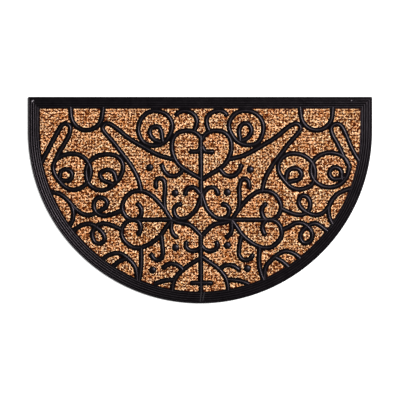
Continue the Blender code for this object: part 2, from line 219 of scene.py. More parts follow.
# Bars that run otherwise in the right half, mirrored into the left one's X.
RIGHT_SCROLLS = {
    "outer_hairpin": (
        (-350, 85, 56), (-336, 107.5, 62), (-318.5, 147.5, 65), (-300, 168.6, 0),
        (-286.6, 156, -95), (-299.5, 127, -119), (-318, 90, -119), (-328, 71, -106),
    ),
    "upper_crook": (
        (-105.5, 28.5, 90), (-104, 40.5, 70), (-95, 47, 0), (-85.5, 39, -75), (-83, 24, -90),
        (-84, 2, -90), (-83, -14, -82), (-78.5, -26, -62),
    ),
    "lower_crook": (
        (-89, -79, -75), (-83.5, -103, -86), (-82.3, -117, -92), (-97, -133, 180),
        (-112, -123, 105),
    ),
    "upper_wave": (
        (-343, 27.5, -10), (-317.5, 21.5, -20), (-297, 10.5, -42), (-283.5, -11, -62),
        (-268.5, -28, -38), (-252, -33.5, 0), (-232, -26.5, 30), (-214.8, -5, 87),
        (-225.5, 9.7, 180), (-240.5, -10, -90), (-219, -32.8, -3), (-201, -29.8, 20),
        (-178, -19.5, 30),
    ),
    "wave_branch": (
        (-290, 3, -52), (-281, -18, -80), (-281.5, -32, -95), (-287.5, -49, -115),
        (-297, -62, -128),
    ),
    "lower_wave": (
        (-286, -75, 50), (-268, -60.8, 42), (-250, -52, 0), (-229, -62, -40), (-218.5, -82, -90),
        (-230, -95, 180), (-245.3, -78, 90), (-234, -57.5, 42), (-214, -50, 0), (-196, -57.5, -32),
        (-178, -66.5, -22),
    ),
    "rim_arch": (
        (-226, -137.5, 45), (-202, -117.2, 22), (-184.5, -113.3, -5), (-156, -131.5, -42),
        (-141.5, -150, -72), (-139, -176, -88),
    ),
    "rim_spur": ((-199, -155, 50), (-184, -140.3, 44), (-164, -127.5, 25)),
    "drop_bar": (
        (-128.5, -104.5, -88), (-126.8, -134, -90), (-130, -157, -102), (-139, -181, -110),
    ),
    "foot_bar": (
        (-1.5, -126.5, -148), (-31, -146.8, -145), (-49, -165.5, -125), (-57.5, -187, -97),
        (-59, -207, -90),
    ),
    "foot_hook": ((-40, -154, 130), (-48.5, -146.4, 150), (-61, -144, 180), (-82, -153.5, -142)),
    "outer_eyelet": (
        (-311, 46, 60), (-310, 59, 88), (-295.7, 72.4, 0), (-283, 58.7, -90), (-296, 46, 180),
        (-317, 50, 165),
    ),
    "inner_eyelet": (
        (-186, 42, 105), (-188, 55, 95), (-204.5, 70.5, 180), (-221.2, 56.5, -90), (-208, 43.5, -8),
        (-190, 38, -25),
    ),
    "top_eyelet": (
        (-85, 131, 95), (-82.8, 152, 92), (-97, 170, 180), (-110.2, 153, -90), (-102, 138.3, -50),
        (-86, 130, -25),
    ),
}

# Bars on the middle line, which both halves share.
SHARED_BARS = ("upper_stem", "lower_stem")

FREE_ENDS = {
    "top_crook": FreeEnd.FIRST, "heart_hook": FreeEnd.LAST, "flank_hook": FreeEnd.FIRST,
    "upper_crook": FreeEnd.FIRST, "stem_crook": FreeEnd.FIRST, "middle_scroll": FreeEnd.LAST,
    "junction_hook": FreeEnd.LAST, "lower_curl": FreeEnd.LAST, "lower_crook": FreeEnd.LAST,
    "side_upper_curl": FreeEnd.LAST, "side_lower_curl": FreeEnd.LAST, "foot_hook": FreeEnd.LAST,
    "cross_bar": FreeEnd.LAST,
}

# Closed rings of the left half: their last station leads back to the first.
RINGS = {
    "outer_ring": (
        (-245.5, 62.5, 90), (-285.5, 102.5, 180), (-329, 72, -91), (-313.5, 40, -50),
        (-285, 22.7, 0),
    ),
    "inner_ring": (
        (-256, 62, 90), (-211, 101.3, 0), (-181, 92, -45), (-173.8, 72, -90), (-181, 50, -118),
        (-197, 33, -138), (-219, 21.7, 180), (-247, 32.5, 133),
    ),
    "top_ring": (
        (-140.3, 156, 90), (-103, 197.3, 0), (-65, 164, -90), (-75, 136.5, -122),
        (-104, 120.5, 180), (-132.5, 132.5, 122),
    ),
}

# The same rings in the right half, mirrored into the left one's X.
RIGHT_RINGS = {
    "outer_ring": (
        (-241.8, 66, 90), (-284.5, 105, 180), (-326.3, 72, -90), (-308.5, 36.8, -38),
        (-282, 28.3, 0),
    ),
    "inner_ring": (
        (-250.8, 62, 90), (-203, 103.2, 0), (-169.3, 71, -90), (-182.5, 44, -128),
        (-214, 23.6, 180), (-241, 31.7, 143),
    ),
    "top_ring": (
        (-137, 160, 90), (-97, 198, 0), (-60.3, 164, -90), (-72.5, 136.5, -125), (-107, 121.5, 180),
        (-131, 136, 117),
    ),
}

STUDS = {
    Side.LEFT: (Spot(-114.7, 72.2), Spot(-58.5, 15.6), Spot(-57.6, -104.9), Spot(-108.4, -154.9)),
    Side.RIGHT: (Spot(-107.7, 67.7), Spot(-57.2, 17.2), Spot(-57, -100.2), Spot(-101.3, -151.3)),
}


@dataclass(frozen=True)
class HalfRound:
    """The mat's outline: a straight edge, two short straight sides and a half circle.

    Attributes:
        length: Size along X.
        depth: Size along Y.
        corner: Radius of the two corners.
        corner_least: Radius that a corner keeps where the outline is moved in past it.
        arc_steps: Steps of the half circle.
        corner_steps: Steps of each corner.
        run_step: Length of a step along the straight runs.
    """

    length: float
    depth: float
    corner: float = 2.6 * MM
    corner_least: float = 0.3 * MM
    arc_steps: int = 170
    corner_steps: int = 5
    run_step: float = 9 * MM

    @property
    def radius(self) -> float:
        """Radius of the half circle."""
        return self.length / 2

    @property
    def arc_middle(self) -> float:
        """Y of the half circle's middle."""
        return self.radius - self.depth / 2

    def ring(self, inset: float) -> list[tuple[float, float]]:
        """Points of the outline moved in, counterclockwise from the right end of the straight edge.

        Args:
            inset: Distance that the outline is moved in.

        Returns:
            The points, as many and in the same order for each inset.
        """
        reach = self.radius - inset
        top = self.depth / 2 - inset
        corner = max(self.corner - inset, self.corner_least)
        run_steps = round(2 * self.radius / self.run_step)
        side_steps = round((self.depth / 2 - self.arc_middle) / self.run_step)
        points = self._arc(reach - corner, top - corner, corner, 0, 90, self.corner_steps)
        points += self._run((reach - corner, top), (corner - reach, top), run_steps)
        points += self._arc(corner - reach, top - corner, corner, 90, 180, self.corner_steps)
        points += self._run((-reach, top - corner), (-reach, self.arc_middle), side_steps)
        points += self._arc(0, self.arc_middle, reach, 180, 360, self.arc_steps)
        points += self._run((reach, self.arc_middle), (reach, top - corner), side_steps)
        return points

    @staticmethod
    def _arc(
        x: float, y: float, radius: float, start: float, end: float, steps: int
    ) -> list[tuple[float, float]]:
        """Points of an arc, with both its ends."""
        turns = [math.radians(start + (end - start) * step / steps) for step in range(steps + 1)]
        return [(x + radius * math.cos(turn), y + radius * math.sin(turn)) for turn in turns]

    @staticmethod
    def _run(start: tuple[float, float], end: tuple[float, float], steps: int) -> list[tuple[float, float]]:
        """Points of a straight run, without its ends."""
        shares = [step / steps for step in range(1, steps)]
        return [(start[0] + (end[0] - start[0]) * t, start[1] + (end[1] - start[1]) * t) for t in shares]

    def inset_of(self, x: np.ndarray, y: np.ndarray) -> np.ndarray:
        """Distance of points inside the outline, negative outside it.

        Args:
            x: X of each point.
            y: Y of each point.

        Returns:
            The distances.
        """
        below = np.minimum(y - self.arc_middle, 0)
        return np.minimum(self.radius - np.hypot(x, below), self.depth / 2 - y)


def loft(bm: bmesh.types.BMesh, rings: list, closed: bool = False) -> None:
    """Extrude a ring of points from place to place and close its ends.

    Args:
        bm: The mesh that takes the shape.
        rings: Rings of as many points each.
        closed: Whether the last ring joins the first one.
    """
    verts = [bm.verts.new(place) for place in rings[0]]
    edges = [bm.edges.new(pair) for pair in zip(verts, verts[1:] + verts[:1])]
    first_verts, first_edges = verts, edges
    for ring in rings[1:]:
        risen = bmesh.ops.extrude_edge_only(bm, edges=edges)["geom"]
        fresh = {item for item in risen if isinstance(item, bmesh.types.BMVert)}
        verts = [next(e.other_vert(v) for e in v.link_edges if e.other_vert(v) in fresh) for v in verts]
        for vert, place in zip(verts, ring):
            vert.co = place
        edges = [bm.edges.get(pair) for pair in zip(verts, verts[1:] + verts[:1])]
    if closed:
        bmesh.ops.bridge_loops(bm, edges=edges + first_edges)
    else:
        bm.faces.new(first_verts)
        bm.faces.new(verts)


def join_shapes(name: str, shapes: list[bmesh.types.BMesh]) -> bpy.types.Mesh:
    """Join closed shapes into one mesh.

    Args:
        name: Name of the mesh.
        shapes: The shapes, which are used up.

    Returns:
        The mesh.
    """
    bm = bmesh.new()
    mesh = bpy.data.meshes.new(name)
    for shape in shapes:
        shape.to_mesh(mesh)
        bm.from_mesh(mesh)
        shape.free()
    bm.to_mesh(mesh)
    bm.free()
    return mesh


def add_piece(
    name: str, mesh: bpy.types.Mesh, material: bpy.types.Material, sharp_degrees: float
) -> bpy.types.Object:
    """Put a mesh in the scene, shaded smooth but for its sharp edges.

    Args:
        name: Name of the piece.
        mesh: Its mesh, in place.
        material: Its finish.
        sharp_degrees: Angle past which an edge stays sharp.

    Returns:
        The piece, riding on the mat's body.
    """
    mesh.materials.append(material)
    mesh.shade_smooth()
    mesh.set_sharp_from_angle(angle=math.radians(sharp_degrees))
    piece = bpy.data.objects.new(name, mesh)
    bpy.context.scene.collection.objects.link(piece)
    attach(piece, BODY)
    LOG.info("%s: %d faces", name, len(mesh.polygons))
    return piece


class NodeBench:
    """A material's node tree, with short ways to add its nodes."""

    def __init__(self, name: str) -> None:
        """Start a material with its shader.

        Args:
            name: Name of the material.
        """
        self.material = bpy.data.materials.new(name)
        self.material.use_nodes = True
        self.tree = self.material.node_tree
        self.shader = self.tree.nodes["Principled BSDF"]
        self.places = self.tree.nodes.new("ShaderNodeTexCoord").outputs["Object"]

    def join(self, source: bpy.types.NodeSocket, target: bpy.types.NodeSocket) -> None:
        """Join two sockets."""
        self.tree.links.new(source, target)

    def noise(
        self, scale: float, detail: float = 2.0, rough: float = 0.5, warp: float = 0.0
    ) -> bpy.types.NodeSocket:
        """Soft noise over the piece.

        Args:
            scale: Waves per metre.
            detail: Finer layers.
            rough: Weight of the finer layers.
            warp: How far the noise is bent by itself.

        Returns:
            The socket of its value.
        """
        node = self.tree.nodes.new("ShaderNodeTexNoise")
        node.inputs["Scale"].default_value = scale
        node.inputs["Detail"].default_value = detail
        node.inputs["Roughness"].default_value = rough
        node.inputs["Distortion"].default_value = warp
        self.join(self.places, node.inputs["Vector"])
        return node.outputs["Fac"]

    def spread(self, source: bpy.types.NodeSocket, low: float, high: float) -> bpy.types.NodeSocket:
        """Bring the middle of a noise to a range of values.

        Args:
            source: The noise.
            low: Value where the noise is low.
            high: Value where it is high.

        Returns:
            The socket of the new value.
        """
        node = self.tree.nodes.new("ShaderNodeMapRange")
        node.inputs["From Min"].default_value = 0.3
        node.inputs["From Max"].default_value = 0.7
        node.inputs["To Min"].default_value = low
        node.inputs["To Max"].default_value = high
        self.join(source, node.inputs["Value"])
        return node.outputs["Result"]

    def blend(self, share: bpy.types.NodeSocket, first: Colour, second: Colour) -> bpy.types.NodeSocket:
        """Colour between two colours.

        Args:
            share: Share of the second colour.
            first: Linear colour where the share is 0.
            second: Linear colour where it is 1.

        Returns:
            The socket of the colour.
        """
        node = self.tree.nodes.new("ShaderNodeMix")
        node.data_type = "RGBA"
        node.inputs["A"].default_value = (*first, 1.0)
        node.inputs["B"].default_value = (*second, 1.0)
        self.join(share, node.inputs["Factor"])
        return node.outputs["Result"]

    def tint(self, colour: bpy.types.NodeSocket, strength: bpy.types.NodeSocket) -> bpy.types.NodeSocket:
        """Colour made lighter or darker.

        Args:
            colour: The colour.
            strength: What it is multiplied by.

        Returns:
            The socket of the new colour.
        """
        node = self.tree.nodes.new("ShaderNodeVectorMath")
        node.operation = "SCALE"
        self.join(colour, node.inputs[0])
        self.join(strength, node.inputs["Scale"])
        return node.outputs["Vector"]

    def bump(self, height: bpy.types.NodeSocket, strength: float, depth: float) -> None:
        """Give the shader a bump.

        Args:
            height: The height of the bump.
            strength: How strong it is, up to 1.
            depth: Its depth in metres.
        """
        node = self.tree.nodes.new("ShaderNodeBump")
        node.inputs["Strength"].default_value = strength
        node.inputs["Distance"].default_value = depth
        self.join(height, node.inputs["Height"])
        self.join(node.outputs["Normal"], self.shader.inputs["Normal"])


@dataclass(frozen=True)
class RubberFinish:
    """Black vulcanised rubber with a soft sheen, a fine moulding grain and a little dust.

    Attributes:
        black: Linear colour of clean rubber.
        dusty: Linear colour where dust lies.
        smooth: Roughness of rubbed places.
        dull: Roughness of dull places.
        gloss: Strength of its shine at a right angle.
        shine: Colour of its shine.
        dust_scale: Waves per metre of the dust.
        sheen_scale: Waves per metre of the rubbed and dull places.
        grain_scale: Waves per metre of the moulding grain.
        grain_depth: Depth of the grain.
    """

    black: Colour = (0.0014, 0.0011, 0.0014)
    dusty: Colour = (0.0032, 0.0027, 0.0032)
    smooth: float = 0.20
    dull: float = 0.29
    gloss: float = 0.050
    shine: Colour = (1.0, 0.84, 0.97)
    dust_scale: float = 55
    sheen_scale: float = 140
    grain_scale: float = 1500
    grain_depth: float = 0.12 * MM

    def material(self, name: str) -> bpy.types.Material:
        """Make the material.

        Args:
            name: Its name.

        Returns:
            The material.
        """
        bench = NodeBench(name)
        dust = bench.spread(bench.noise(self.dust_scale, detail=5, rough=0.62), 0, 1)
        bench.join(bench.blend(dust, self.black, self.dusty), bench.shader.inputs["Base Color"])
        sheen = bench.spread(bench.noise(self.sheen_scale, detail=4), self.smooth, self.dull)
        bench.join(sheen, bench.shader.inputs["Roughness"])
        bench.bump(bench.noise(self.grain_scale, detail=3, rough=0.6), strength=0.35, depth=self.grain_depth)
        bench.shader.inputs["Specular IOR Level"].default_value = self.gloss
        bench.shader.inputs["Specular Tint"].default_value = (*self.shine, 1.0)
        return bench.material


@dataclass(frozen=True)
class CoirBedPaintedShade:
    """The coir under and between the fibres that lie on top: brown, darkened to near black as painted shade in
    the gaps between the fibres.

    Attributes:
        deep: Linear colour of the deepest gaps, near black: painted shade.
        root: Linear colour of the matted fibre, its brown darkened as painted shade.
        tangle_scale: Waves per metre of the tangle.
        tangle_depth: Depth of the tangle.
        dull_scale: Waves per metre of the roughness.
    """

    deep: Colour = (0.008, 0.0012, 0.0002)
    root: Colour = (0.055, 0.0090, 0.0010)
    tangle_scale: float = 420
    tangle_depth: float = 0.7 * MM
    dull_scale: float = 900

    def material(self) -> bpy.types.Material:
        """Make the material."""
        bench = NodeBench("coir_bed")
        tangle = bench.noise(self.tangle_scale, detail=5, rough=0.7, warp=1.2)
        # Painted shade: near black in the deep parts of the tangle, dark brown elsewhere.
        colour = bench.blend(bench.spread(tangle, 0, 1), self.deep, self.root)
        bench.join(colour, bench.shader.inputs["Base Color"])
        bench.join(bench.spread(bench.noise(self.dull_scale), 0.82, 0.98), bench.shader.inputs["Roughness"])
        bench.bump(tangle, strength=0.8, depth=self.tangle_depth)
        bench.shader.inputs["Specular IOR Level"].default_value = 0.05
        return bench.material


@dataclass(frozen=True)
class FibreFinish:
    """Coir fibre: each fibre has its own tone, with painted light and shade in it, and fine flecks along it.

    Attributes:
        tone: Name of the attribute that holds each fibre's linear colour, painted light and shade included.
        fleck_scale: Waves per metre of the flecks.
        fleck: Tone of the darkest and the lightest fleck, as a share of the fibre's.
        dull_scale: Waves per metre of the roughness.
        skin_scale: Waves per metre of the fibre's skin.
        skin_depth: Depth of the skin's bumps.
    """

    tone: str = "fibre_tone_painted_light_and_shade"
    fleck_scale: float = 1300
    fleck: tuple[float, float] = (0.78, 1.22)
    dull_scale: float = 700
    skin_scale: float = 2400
    skin_depth: float = 0.15 * MM

    def material(self) -> bpy.types.Material:
        """Make the material."""
        bench = NodeBench("coir_fibre")
        tone = bench.tree.nodes.new("ShaderNodeAttribute")
        tone.attribute_name = self.tone
        flecks = bench.spread(bench.noise(self.fleck_scale, detail=3, rough=0.6), *self.fleck)
        bench.join(bench.tint(tone.outputs["Color"], flecks), bench.shader.inputs["Base Color"])
        bench.join(bench.spread(bench.noise(self.dull_scale), 0.62, 0.85), bench.shader.inputs["Roughness"])
        bench.bump(bench.noise(self.skin_scale), strength=0.4, depth=self.skin_depth)
        bench.shader.inputs["Specular IOR Level"].default_value = 0.02
        return bench.material


@dataclass(frozen=True)
class FloorFinish:
    """Plain pale floor, lit through from below as a light table is, and clear to a view from below.

    Attributes:
        white: Linear grey of the floor.
        glow: Strength of the light that comes through it.
    """

    white: float = 0.45
    glow: float = 0.5

    def material(self) -> bpy.types.Material:
        """Make the material."""
        bench = NodeBench("pale_floor")
        grain = bench.spread(bench.noise(3, detail=2), 0, 1)
        tones = (self.white,) * 3, (self.white * 0.995,) * 3
        bench.join(bench.blend(grain, *tones), bench.shader.inputs["Base Color"])
        bench.shader.inputs["Emission Color"].default_value = (1.0, 1.0, 1.0, 1.0)
        bench.shader.inputs["Emission Strength"].default_value = self.glow
        side = bench.tree.nodes.new("ShaderNodeNewGeometry")
        above = bench.tree.nodes.new("ShaderNodeMath")
        above.operation = "SUBTRACT"
        above.inputs[0].default_value = 1.0
        bench.join(side.outputs["Backfacing"], above.inputs[1])
        bench.join(above.outputs[0], bench.shader.inputs["Alpha"])
        bench.shader.inputs["Roughness"].default_value = 0.9
        bench.shader.inputs["Specular IOR Level"].default_value = 0.1
        return bench.material


@dataclass
class Scrollwork:
    """The scroll bars, rings and studs that are moulded in one with the border.

    Attributes:
        outline: The mat's outline.
        middle: X of the pattern's middle line.
        half_width: Half the width of a bar at its foot.
        foot: Height of the bars' foot, sunk in the coir.
        top: Height of the bars' crest.
        shoulder: Steepest slope of a bar's dome, at its foot.
        section_steps: Steps over a bar's dome.
        bend_step: Greatest turn of a step, in degrees.
        run_step: Greatest length of a step.
        end_reach: How far a free end's dome reaches past its station.
        end_swell: Share by which a free end is wider than its bar.
        end_steps: Steps of a free end's dome.
        end_turn: How far the dome turns down, in radians.
        sink: How far the bars reach into the border, as an inset from the outline.
        stud_width: Width of a stud.
        stud_turns: Steps round a stud.
        stud_dome: A stud's section, as shares of its radius and its height.
        lines: Middle line of each bar, ring and stud, once they are built.
    """

    outline: HalfRound
    middle: float = 3.3 * MM
    half_width: float = 6.25 * MM
    foot: float = 5.7 * MM
    top: float = 9.8 * MM
    shoulder: float = math.radians(68)
    section_steps: int = 10
    bend_step: float = 8.0
    run_step: float = 9 * MM
    end_reach: float = 6.0 * MM
    end_swell: float = 0.06
    end_steps: int = 4
    end_turn: float = math.radians(84)
    sink: float = 22.5 * MM
    stud_width: float = 17.0 * MM
    stud_turns: int = 28
    stud_dome: tuple[tuple[float, float], ...] = (
        (1, 0), (1, 0.35), (0.93, 0.66), (0.76, 0.87), (0.45, 0.97), (0, 1),
    )
    lines: dict[str, np.ndarray] = field(default_factory=dict)

    def place(self, points: list[tuple[float, float]], side: Side) -> np.ndarray:
        """Points of the table on the mat.

        Args:
            points: X and Y in millimetres of the left half.
            side: The half that they go to.

        Returns:
            Rows of X and Y in metres.
        """
        table = np.array([(x * side.value, y) for x, y in points]) * MM
        return table + (self.middle, 0)

    def bend(self, start: Station, end: Station) -> list[tuple[float, float]]:
        """Points of a smooth bend between two stations, without its first one.

        Args:
            start: The station that it leaves.
            end: The station that it reaches.

        Returns:
            The points, in millimetres.
        """
        width, height = end.x - start.x, end.y - start.y
        chord = math.hypot(width, height)
        course = math.atan2(height, width)
        headings = [math.radians(station.heading) for station in (start, end)]
        turn = sum(abs(math.remainder(heading - course, math.tau)) for heading in headings)
        reach = chord / 3
        if turn > math.radians(self.bend_step):
            reach = chord * (2 / 3) * math.tan(turn / 4) / math.sin(turn / 2)
        handles = np.array((
            (start.x, start.y),
            (start.x + reach * math.cos(headings[0]), start.y + reach * math.sin(headings[0])),
            (end.x - reach * math.cos(headings[1]), end.y - reach * math.sin(headings[1])),
            (end.x, end.y),
        ))
        steps = math.ceil(max(math.degrees(turn) / self.bend_step, chord * MM / self.run_step))
        shares = [step / steps for step in range(1, steps + 1)]
        weights = [((1 - t) ** 3, 3 * t * (1 - t) ** 2, 3 * t * t * (1 - t), t ** 3) for t in shares]
        return [tuple(point) for point in np.array(weights) @ handles]

    def trim(self, points: np.ndarray) -> np.ndarray:
        """Cut a line off where it has gone far enough into the border.

        Args:
            points: Rows of X and Y.

        Returns:
            The rows that are left, with an end on the cut.
        """
        depth = self.outline.inset_of(points[:, 0], points[:, 1]) - self.sink
        inside = np.flatnonzero(depth > 0)
        kept = [points[inside[0]:inside[-1] + 1]]
        for edge, beyond in ((inside[0], inside[0] - 1), (inside[-1], inside[-1] + 1)):
            if 0 <= beyond < len(points):
                share = depth[edge] / (depth[edge] - depth[beyond])
                cut = points[edge] + share * (points[beyond] - points[edge])
                kept.insert(0 if beyond < edge else len(kept), cut[None])
        return np.vstack(kept)

    def section(self, point: np.ndarray, heading: np.ndarray, width: float, rise: float) -> list[Vector]:
        """One section of a bar.

        Args:
            point: Where it stands.
            heading: Unit heading of the bar there.
            width: Share of the full width.
            rise: Share of the full height.

        Returns:
            Its points, over the dome from the left side to the right one.
        """
        ring = []
        for step in range(self.section_steps + 1):
            turn = self.shoulder * (1 - 2 * step / self.section_steps)
            across = self.half_width * width * math.sin(turn) / math.sin(self.shoulder)
            height = (math.cos(turn) - math.cos(self.shoulder)) / (1 - math.cos(self.shoulder))
            up = self.foot + (self.top - self.foot) * rise * height
            ring.append(Vector((point[0] - heading[1] * across, point[1] + heading[0] * across, up)))
        return ring

    def bar(
        self, points: np.ndarray, free: FreeEnd, closed: bool, width: float = 1.0, rise: float = 1.0
    ) -> bmesh.types.BMesh:
        """Sweep a bar along its middle line.

        Args:
            points: Rows of X and Y.
            free: The end that is rounded.
            closed: Whether the bar is a ring.
            width: Share of a bar's full width.
            rise: Share of a bar's full height.

        Returns:
            The bar as a closed mesh.
        """
        if free is FreeEnd.FIRST:
            points = points[::-1]
        if closed:
            courses = np.roll(points, -1, axis=0) - np.roll(points, 1, axis=0)
        else:
            courses = np.gradient(points, axis=0)
        headings = courses / np.linalg.norm(courses, axis=1)[:, None]
        to_end = np.linalg.norm(points - points[-1], axis=1)
        rings = []
        for point, heading, distance in zip(points, headings, to_end):
            swell = 0.0
            if free is not FreeEnd.NONE:
                swell = self.end_swell * math.exp(-((distance / self.end_reach) ** 2))
            rings.append(self.section(point, heading, width * (1 + swell), rise))
        if free is not FreeEnd.NONE:
            for step in range(1, self.end_steps + 1):
                turn = self.end_turn * step / self.end_steps
                place = points[-1] + headings[-1] * self.end_reach * math.sin(turn)
                shrink = math.cos(turn)
                swell = (1 + self.end_swell) * shrink
                rings.append(self.section(place, headings[-1], width * swell, rise * shrink))
        bm = bmesh.new()
        loft(bm, rings, closed)
        bmesh.ops.recalc_face_normals(bm, faces=bm.faces)
        return bm

    def stud(self, middle: np.ndarray, width: float) -> bmesh.types.BMesh:
        """Turn a stud: a low dome with a rounded shoulder.

        Args:
            middle: X and Y of its middle.
            width: Width of its foot.

        Returns:
            The stud as a closed mesh.
        """
        bm = bmesh.new()
        radius, rise = width / 2, self.top - self.foot
        section = [(middle[0] + radius * out, middle[1], self.foot + rise * up) for out, up in self.stud_dome]
        verts = [bm.verts.new(place) for place in ((*middle, self.foot), *section)]
        edges = [bm.edges.new(pair) for pair in zip(verts, verts[1:])]
        bmesh.ops.spin(
            bm, geom=verts + edges, cent=(*middle, 0), axis=(0, 0, 1), angle=math.tau,
            steps=self.stud_turns, use_merge=True,
        )
        bmesh.ops.remove_doubles(bm, verts=bm.verts, dist=0.01 * MM)
        bmesh.ops.recalc_face_normals(bm, faces=bm.faces)
        return bm

    def shapes(self) -> list[bmesh.types.BMesh]:
        """Build every bar, ring and stud, and keep the bars' middle lines.

        Returns:
            One closed mesh for each.
        """
        made = []
        for side in Side:
            right = side is Side.RIGHT
            for name, rows in {**SCROLLS, **(RIGHT_SCROLLS if right else {})}.items():
                if right and name in SHARED_BARS:
                    continue
                points = self.trim(self.place(self.course(rows), side))
                self.lines[f"{name}_{side.name}"] = points
                made.append(self.bar(points, FREE_ENDS.get(name, FreeEnd.NONE), closed=False))
            for name, rows in (RIGHT_RINGS if right else RINGS).items():
                points = self.place(self.course((*rows, rows[0])), side)
                self.lines[f"{name}_{side.name}"] = points
                made.append(self.bar(points[:-1], FreeEnd.NONE, closed=True))
            reach = self.stud_width / 2 - self.half_width
            turns = np.linspace(0, math.tau, self.stud_turns // 4 + 1)
            round_stud = reach * np.column_stack((np.cos(turns), np.sin(turns)))
            for index, middle in enumerate(self.place(STUDS[side], side)):
                self.lines[f"stud_{index + 1}_{side.name}"] = middle + round_stud
                made.append(self.stud(middle, self.stud_width))
        return made

    def course(self, rows: tuple) -> list[tuple[float, float]]:
        """Middle line through a row of stations, in millimetres."""
        stations = [Station(*row) for row in rows]
        points = [stations[0][:2]]
        for start, end in zip(stations, stations[1:]):
            points += self.bend(start, end)
        return points

    def spots(self, step: float = 1.5 * MM) -> np.ndarray:
        """Places along every bar, close together.

        Args:
            step: Distance between the places.

        Returns:
            Rows of X and Y.
        """
        rows = []
        for points in self.lines.values():
            for start, end in zip(points, points[1:]):
                count = max(1, math.ceil(math.dist(start, end) / step))
                rows += [start + (end - start) * k / count for k in range(count)]
            rows.append(points[-1])
        return np.array(rows)

    def beside(self, distance: float, step: float) -> np.ndarray:
        """Places on both sides of every bar.

        Args:
            distance: Distance from the bar's middle line.
            step: Distance between the places along the bar.

        Returns:
            Rows of X, Y and the bar's heading, in radians.
        """
        rows = []
        for points in self.lines.values():
            for start, end in zip(points, points[1:]):
                width, height = end - start
                heading = math.atan2(height, width)
                aside = np.array((-math.sin(heading), math.cos(heading))) * distance
                for share in np.arange(0, 1, step / math.hypot(width, height)):
                    middle = start + (end - start) * share
                    rows += [(*(middle + aside), heading), (*(middle - aside), heading)]
        return np.array(rows)


@dataclass
class RubberMoulding:
    """The one rubber moulding: backing, ridged border and scrollwork.

    Attributes:
        outline: The mat's outline.
        scrollwork: What is raised inside the border.
        border: Width of the border.
        backing: Thickness of the backing sheet.
        top: Height of the ridges' crests.
        rise: Height of the ridges above the grooves between them.
        grooves: Inset of the grooves that bound the ridges, the first one at the rounded lip.
        wall: How far the border's inner wall leans.
        ridge_steps: Steps over a ridge.
        heel: The rounded foot, as rows of the inset from the outline and the height.
        lip: The rounded outer lip, as rows of the inset and the depth under the grooves.
        land: Height of the flat land inside the last ridge, above the grooves.
        land_ends: How far the land starts past the last groove, and ends before the inner wall.
        nub: Middle of the small round nub in the left corner.
        nub_width: Its width.
    """

    outline: HalfRound
    scrollwork: Scrollwork
    border: float = 26 * MM
    backing: float = 2 * MM
    top: float = 10 * MM
    rise: float = 1.0 * MM
    grooves: tuple[float, ...] = (0.9 * MM, 4.6 * MM, 9.4 * MM, 14.7 * MM, 19.3 * MM, 23.9 * MM)
    wall: float = 0.5 * MM
    ridge_steps: int = 8
    heel: tuple[tuple[float, float], ...] = ((3 * MM, 0), (0.6 * MM, 0), (0.15 * MM, 0.2 * MM), (0, 0.7 * MM))
    lip: tuple[tuple[float, float], ...] = ((0, 1.4 * MM), (0.25 * MM, 0.55 * MM))
    land: float = 0.3 * MM
    land_ends: tuple[float, float] = (0.5 * MM, 0.35 * MM)
    nub: Spot = Spot(-369.2, 218.0)
    nub_width: float = 7.0 * MM

    def profile(self) -> list[tuple[float, float]]:
        """Section of the border, from its underside over the ridges to the backing.

        Returns:
            Rows of the inset from the outline and the height.
        """
        groove = self.top - self.rise
        rows = [*self.heel, *((inset, groove - depth) for inset, depth in self.lip)]
        rows.append((self.grooves[0], groove))
        for start, end in zip(self.grooves, self.grooves[1:]):
            for step in range(1, self.ridge_steps + 1):
                share = step / self.ridge_steps
                rows.append((start + (end - start) * share, groove + self.rise * (1 - (2 * share - 1) ** 2)))
        inner = self.border - self.wall
        land = (self.grooves[-1] + self.land_ends[0], inner - self.land_ends[1])
        rows += [(inset, groove + self.land) for inset in land]
        rows += [(inner, groove), (self.border, self.backing)]
        return rows

    def build(self, finish: RubberFinish) -> bpy.types.Object:
        """Model the moulding and dress it.

        Args:
            finish: The rubber's finish.

        Returns:
            The piece.
        """
        base = bmesh.new()
        rows = self.profile()
        loft(base, [[(*point, height) for point in self.outline.ring(inset)] for inset, height in rows])
        bmesh.ops.recalc_face_normals(base, faces=base.faces)
        nub = self.scrollwork.stud(np.array(self.nub) * MM, self.nub_width)
        mesh = join_shapes("moulded_rubber", [base, *self.scrollwork.shapes(), nub])
        piece = add_piece("moulded_rubber", mesh, finish.material("moulded_rubber"), sharp_degrees=38)
        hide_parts("rubber_moulding")
        return piece


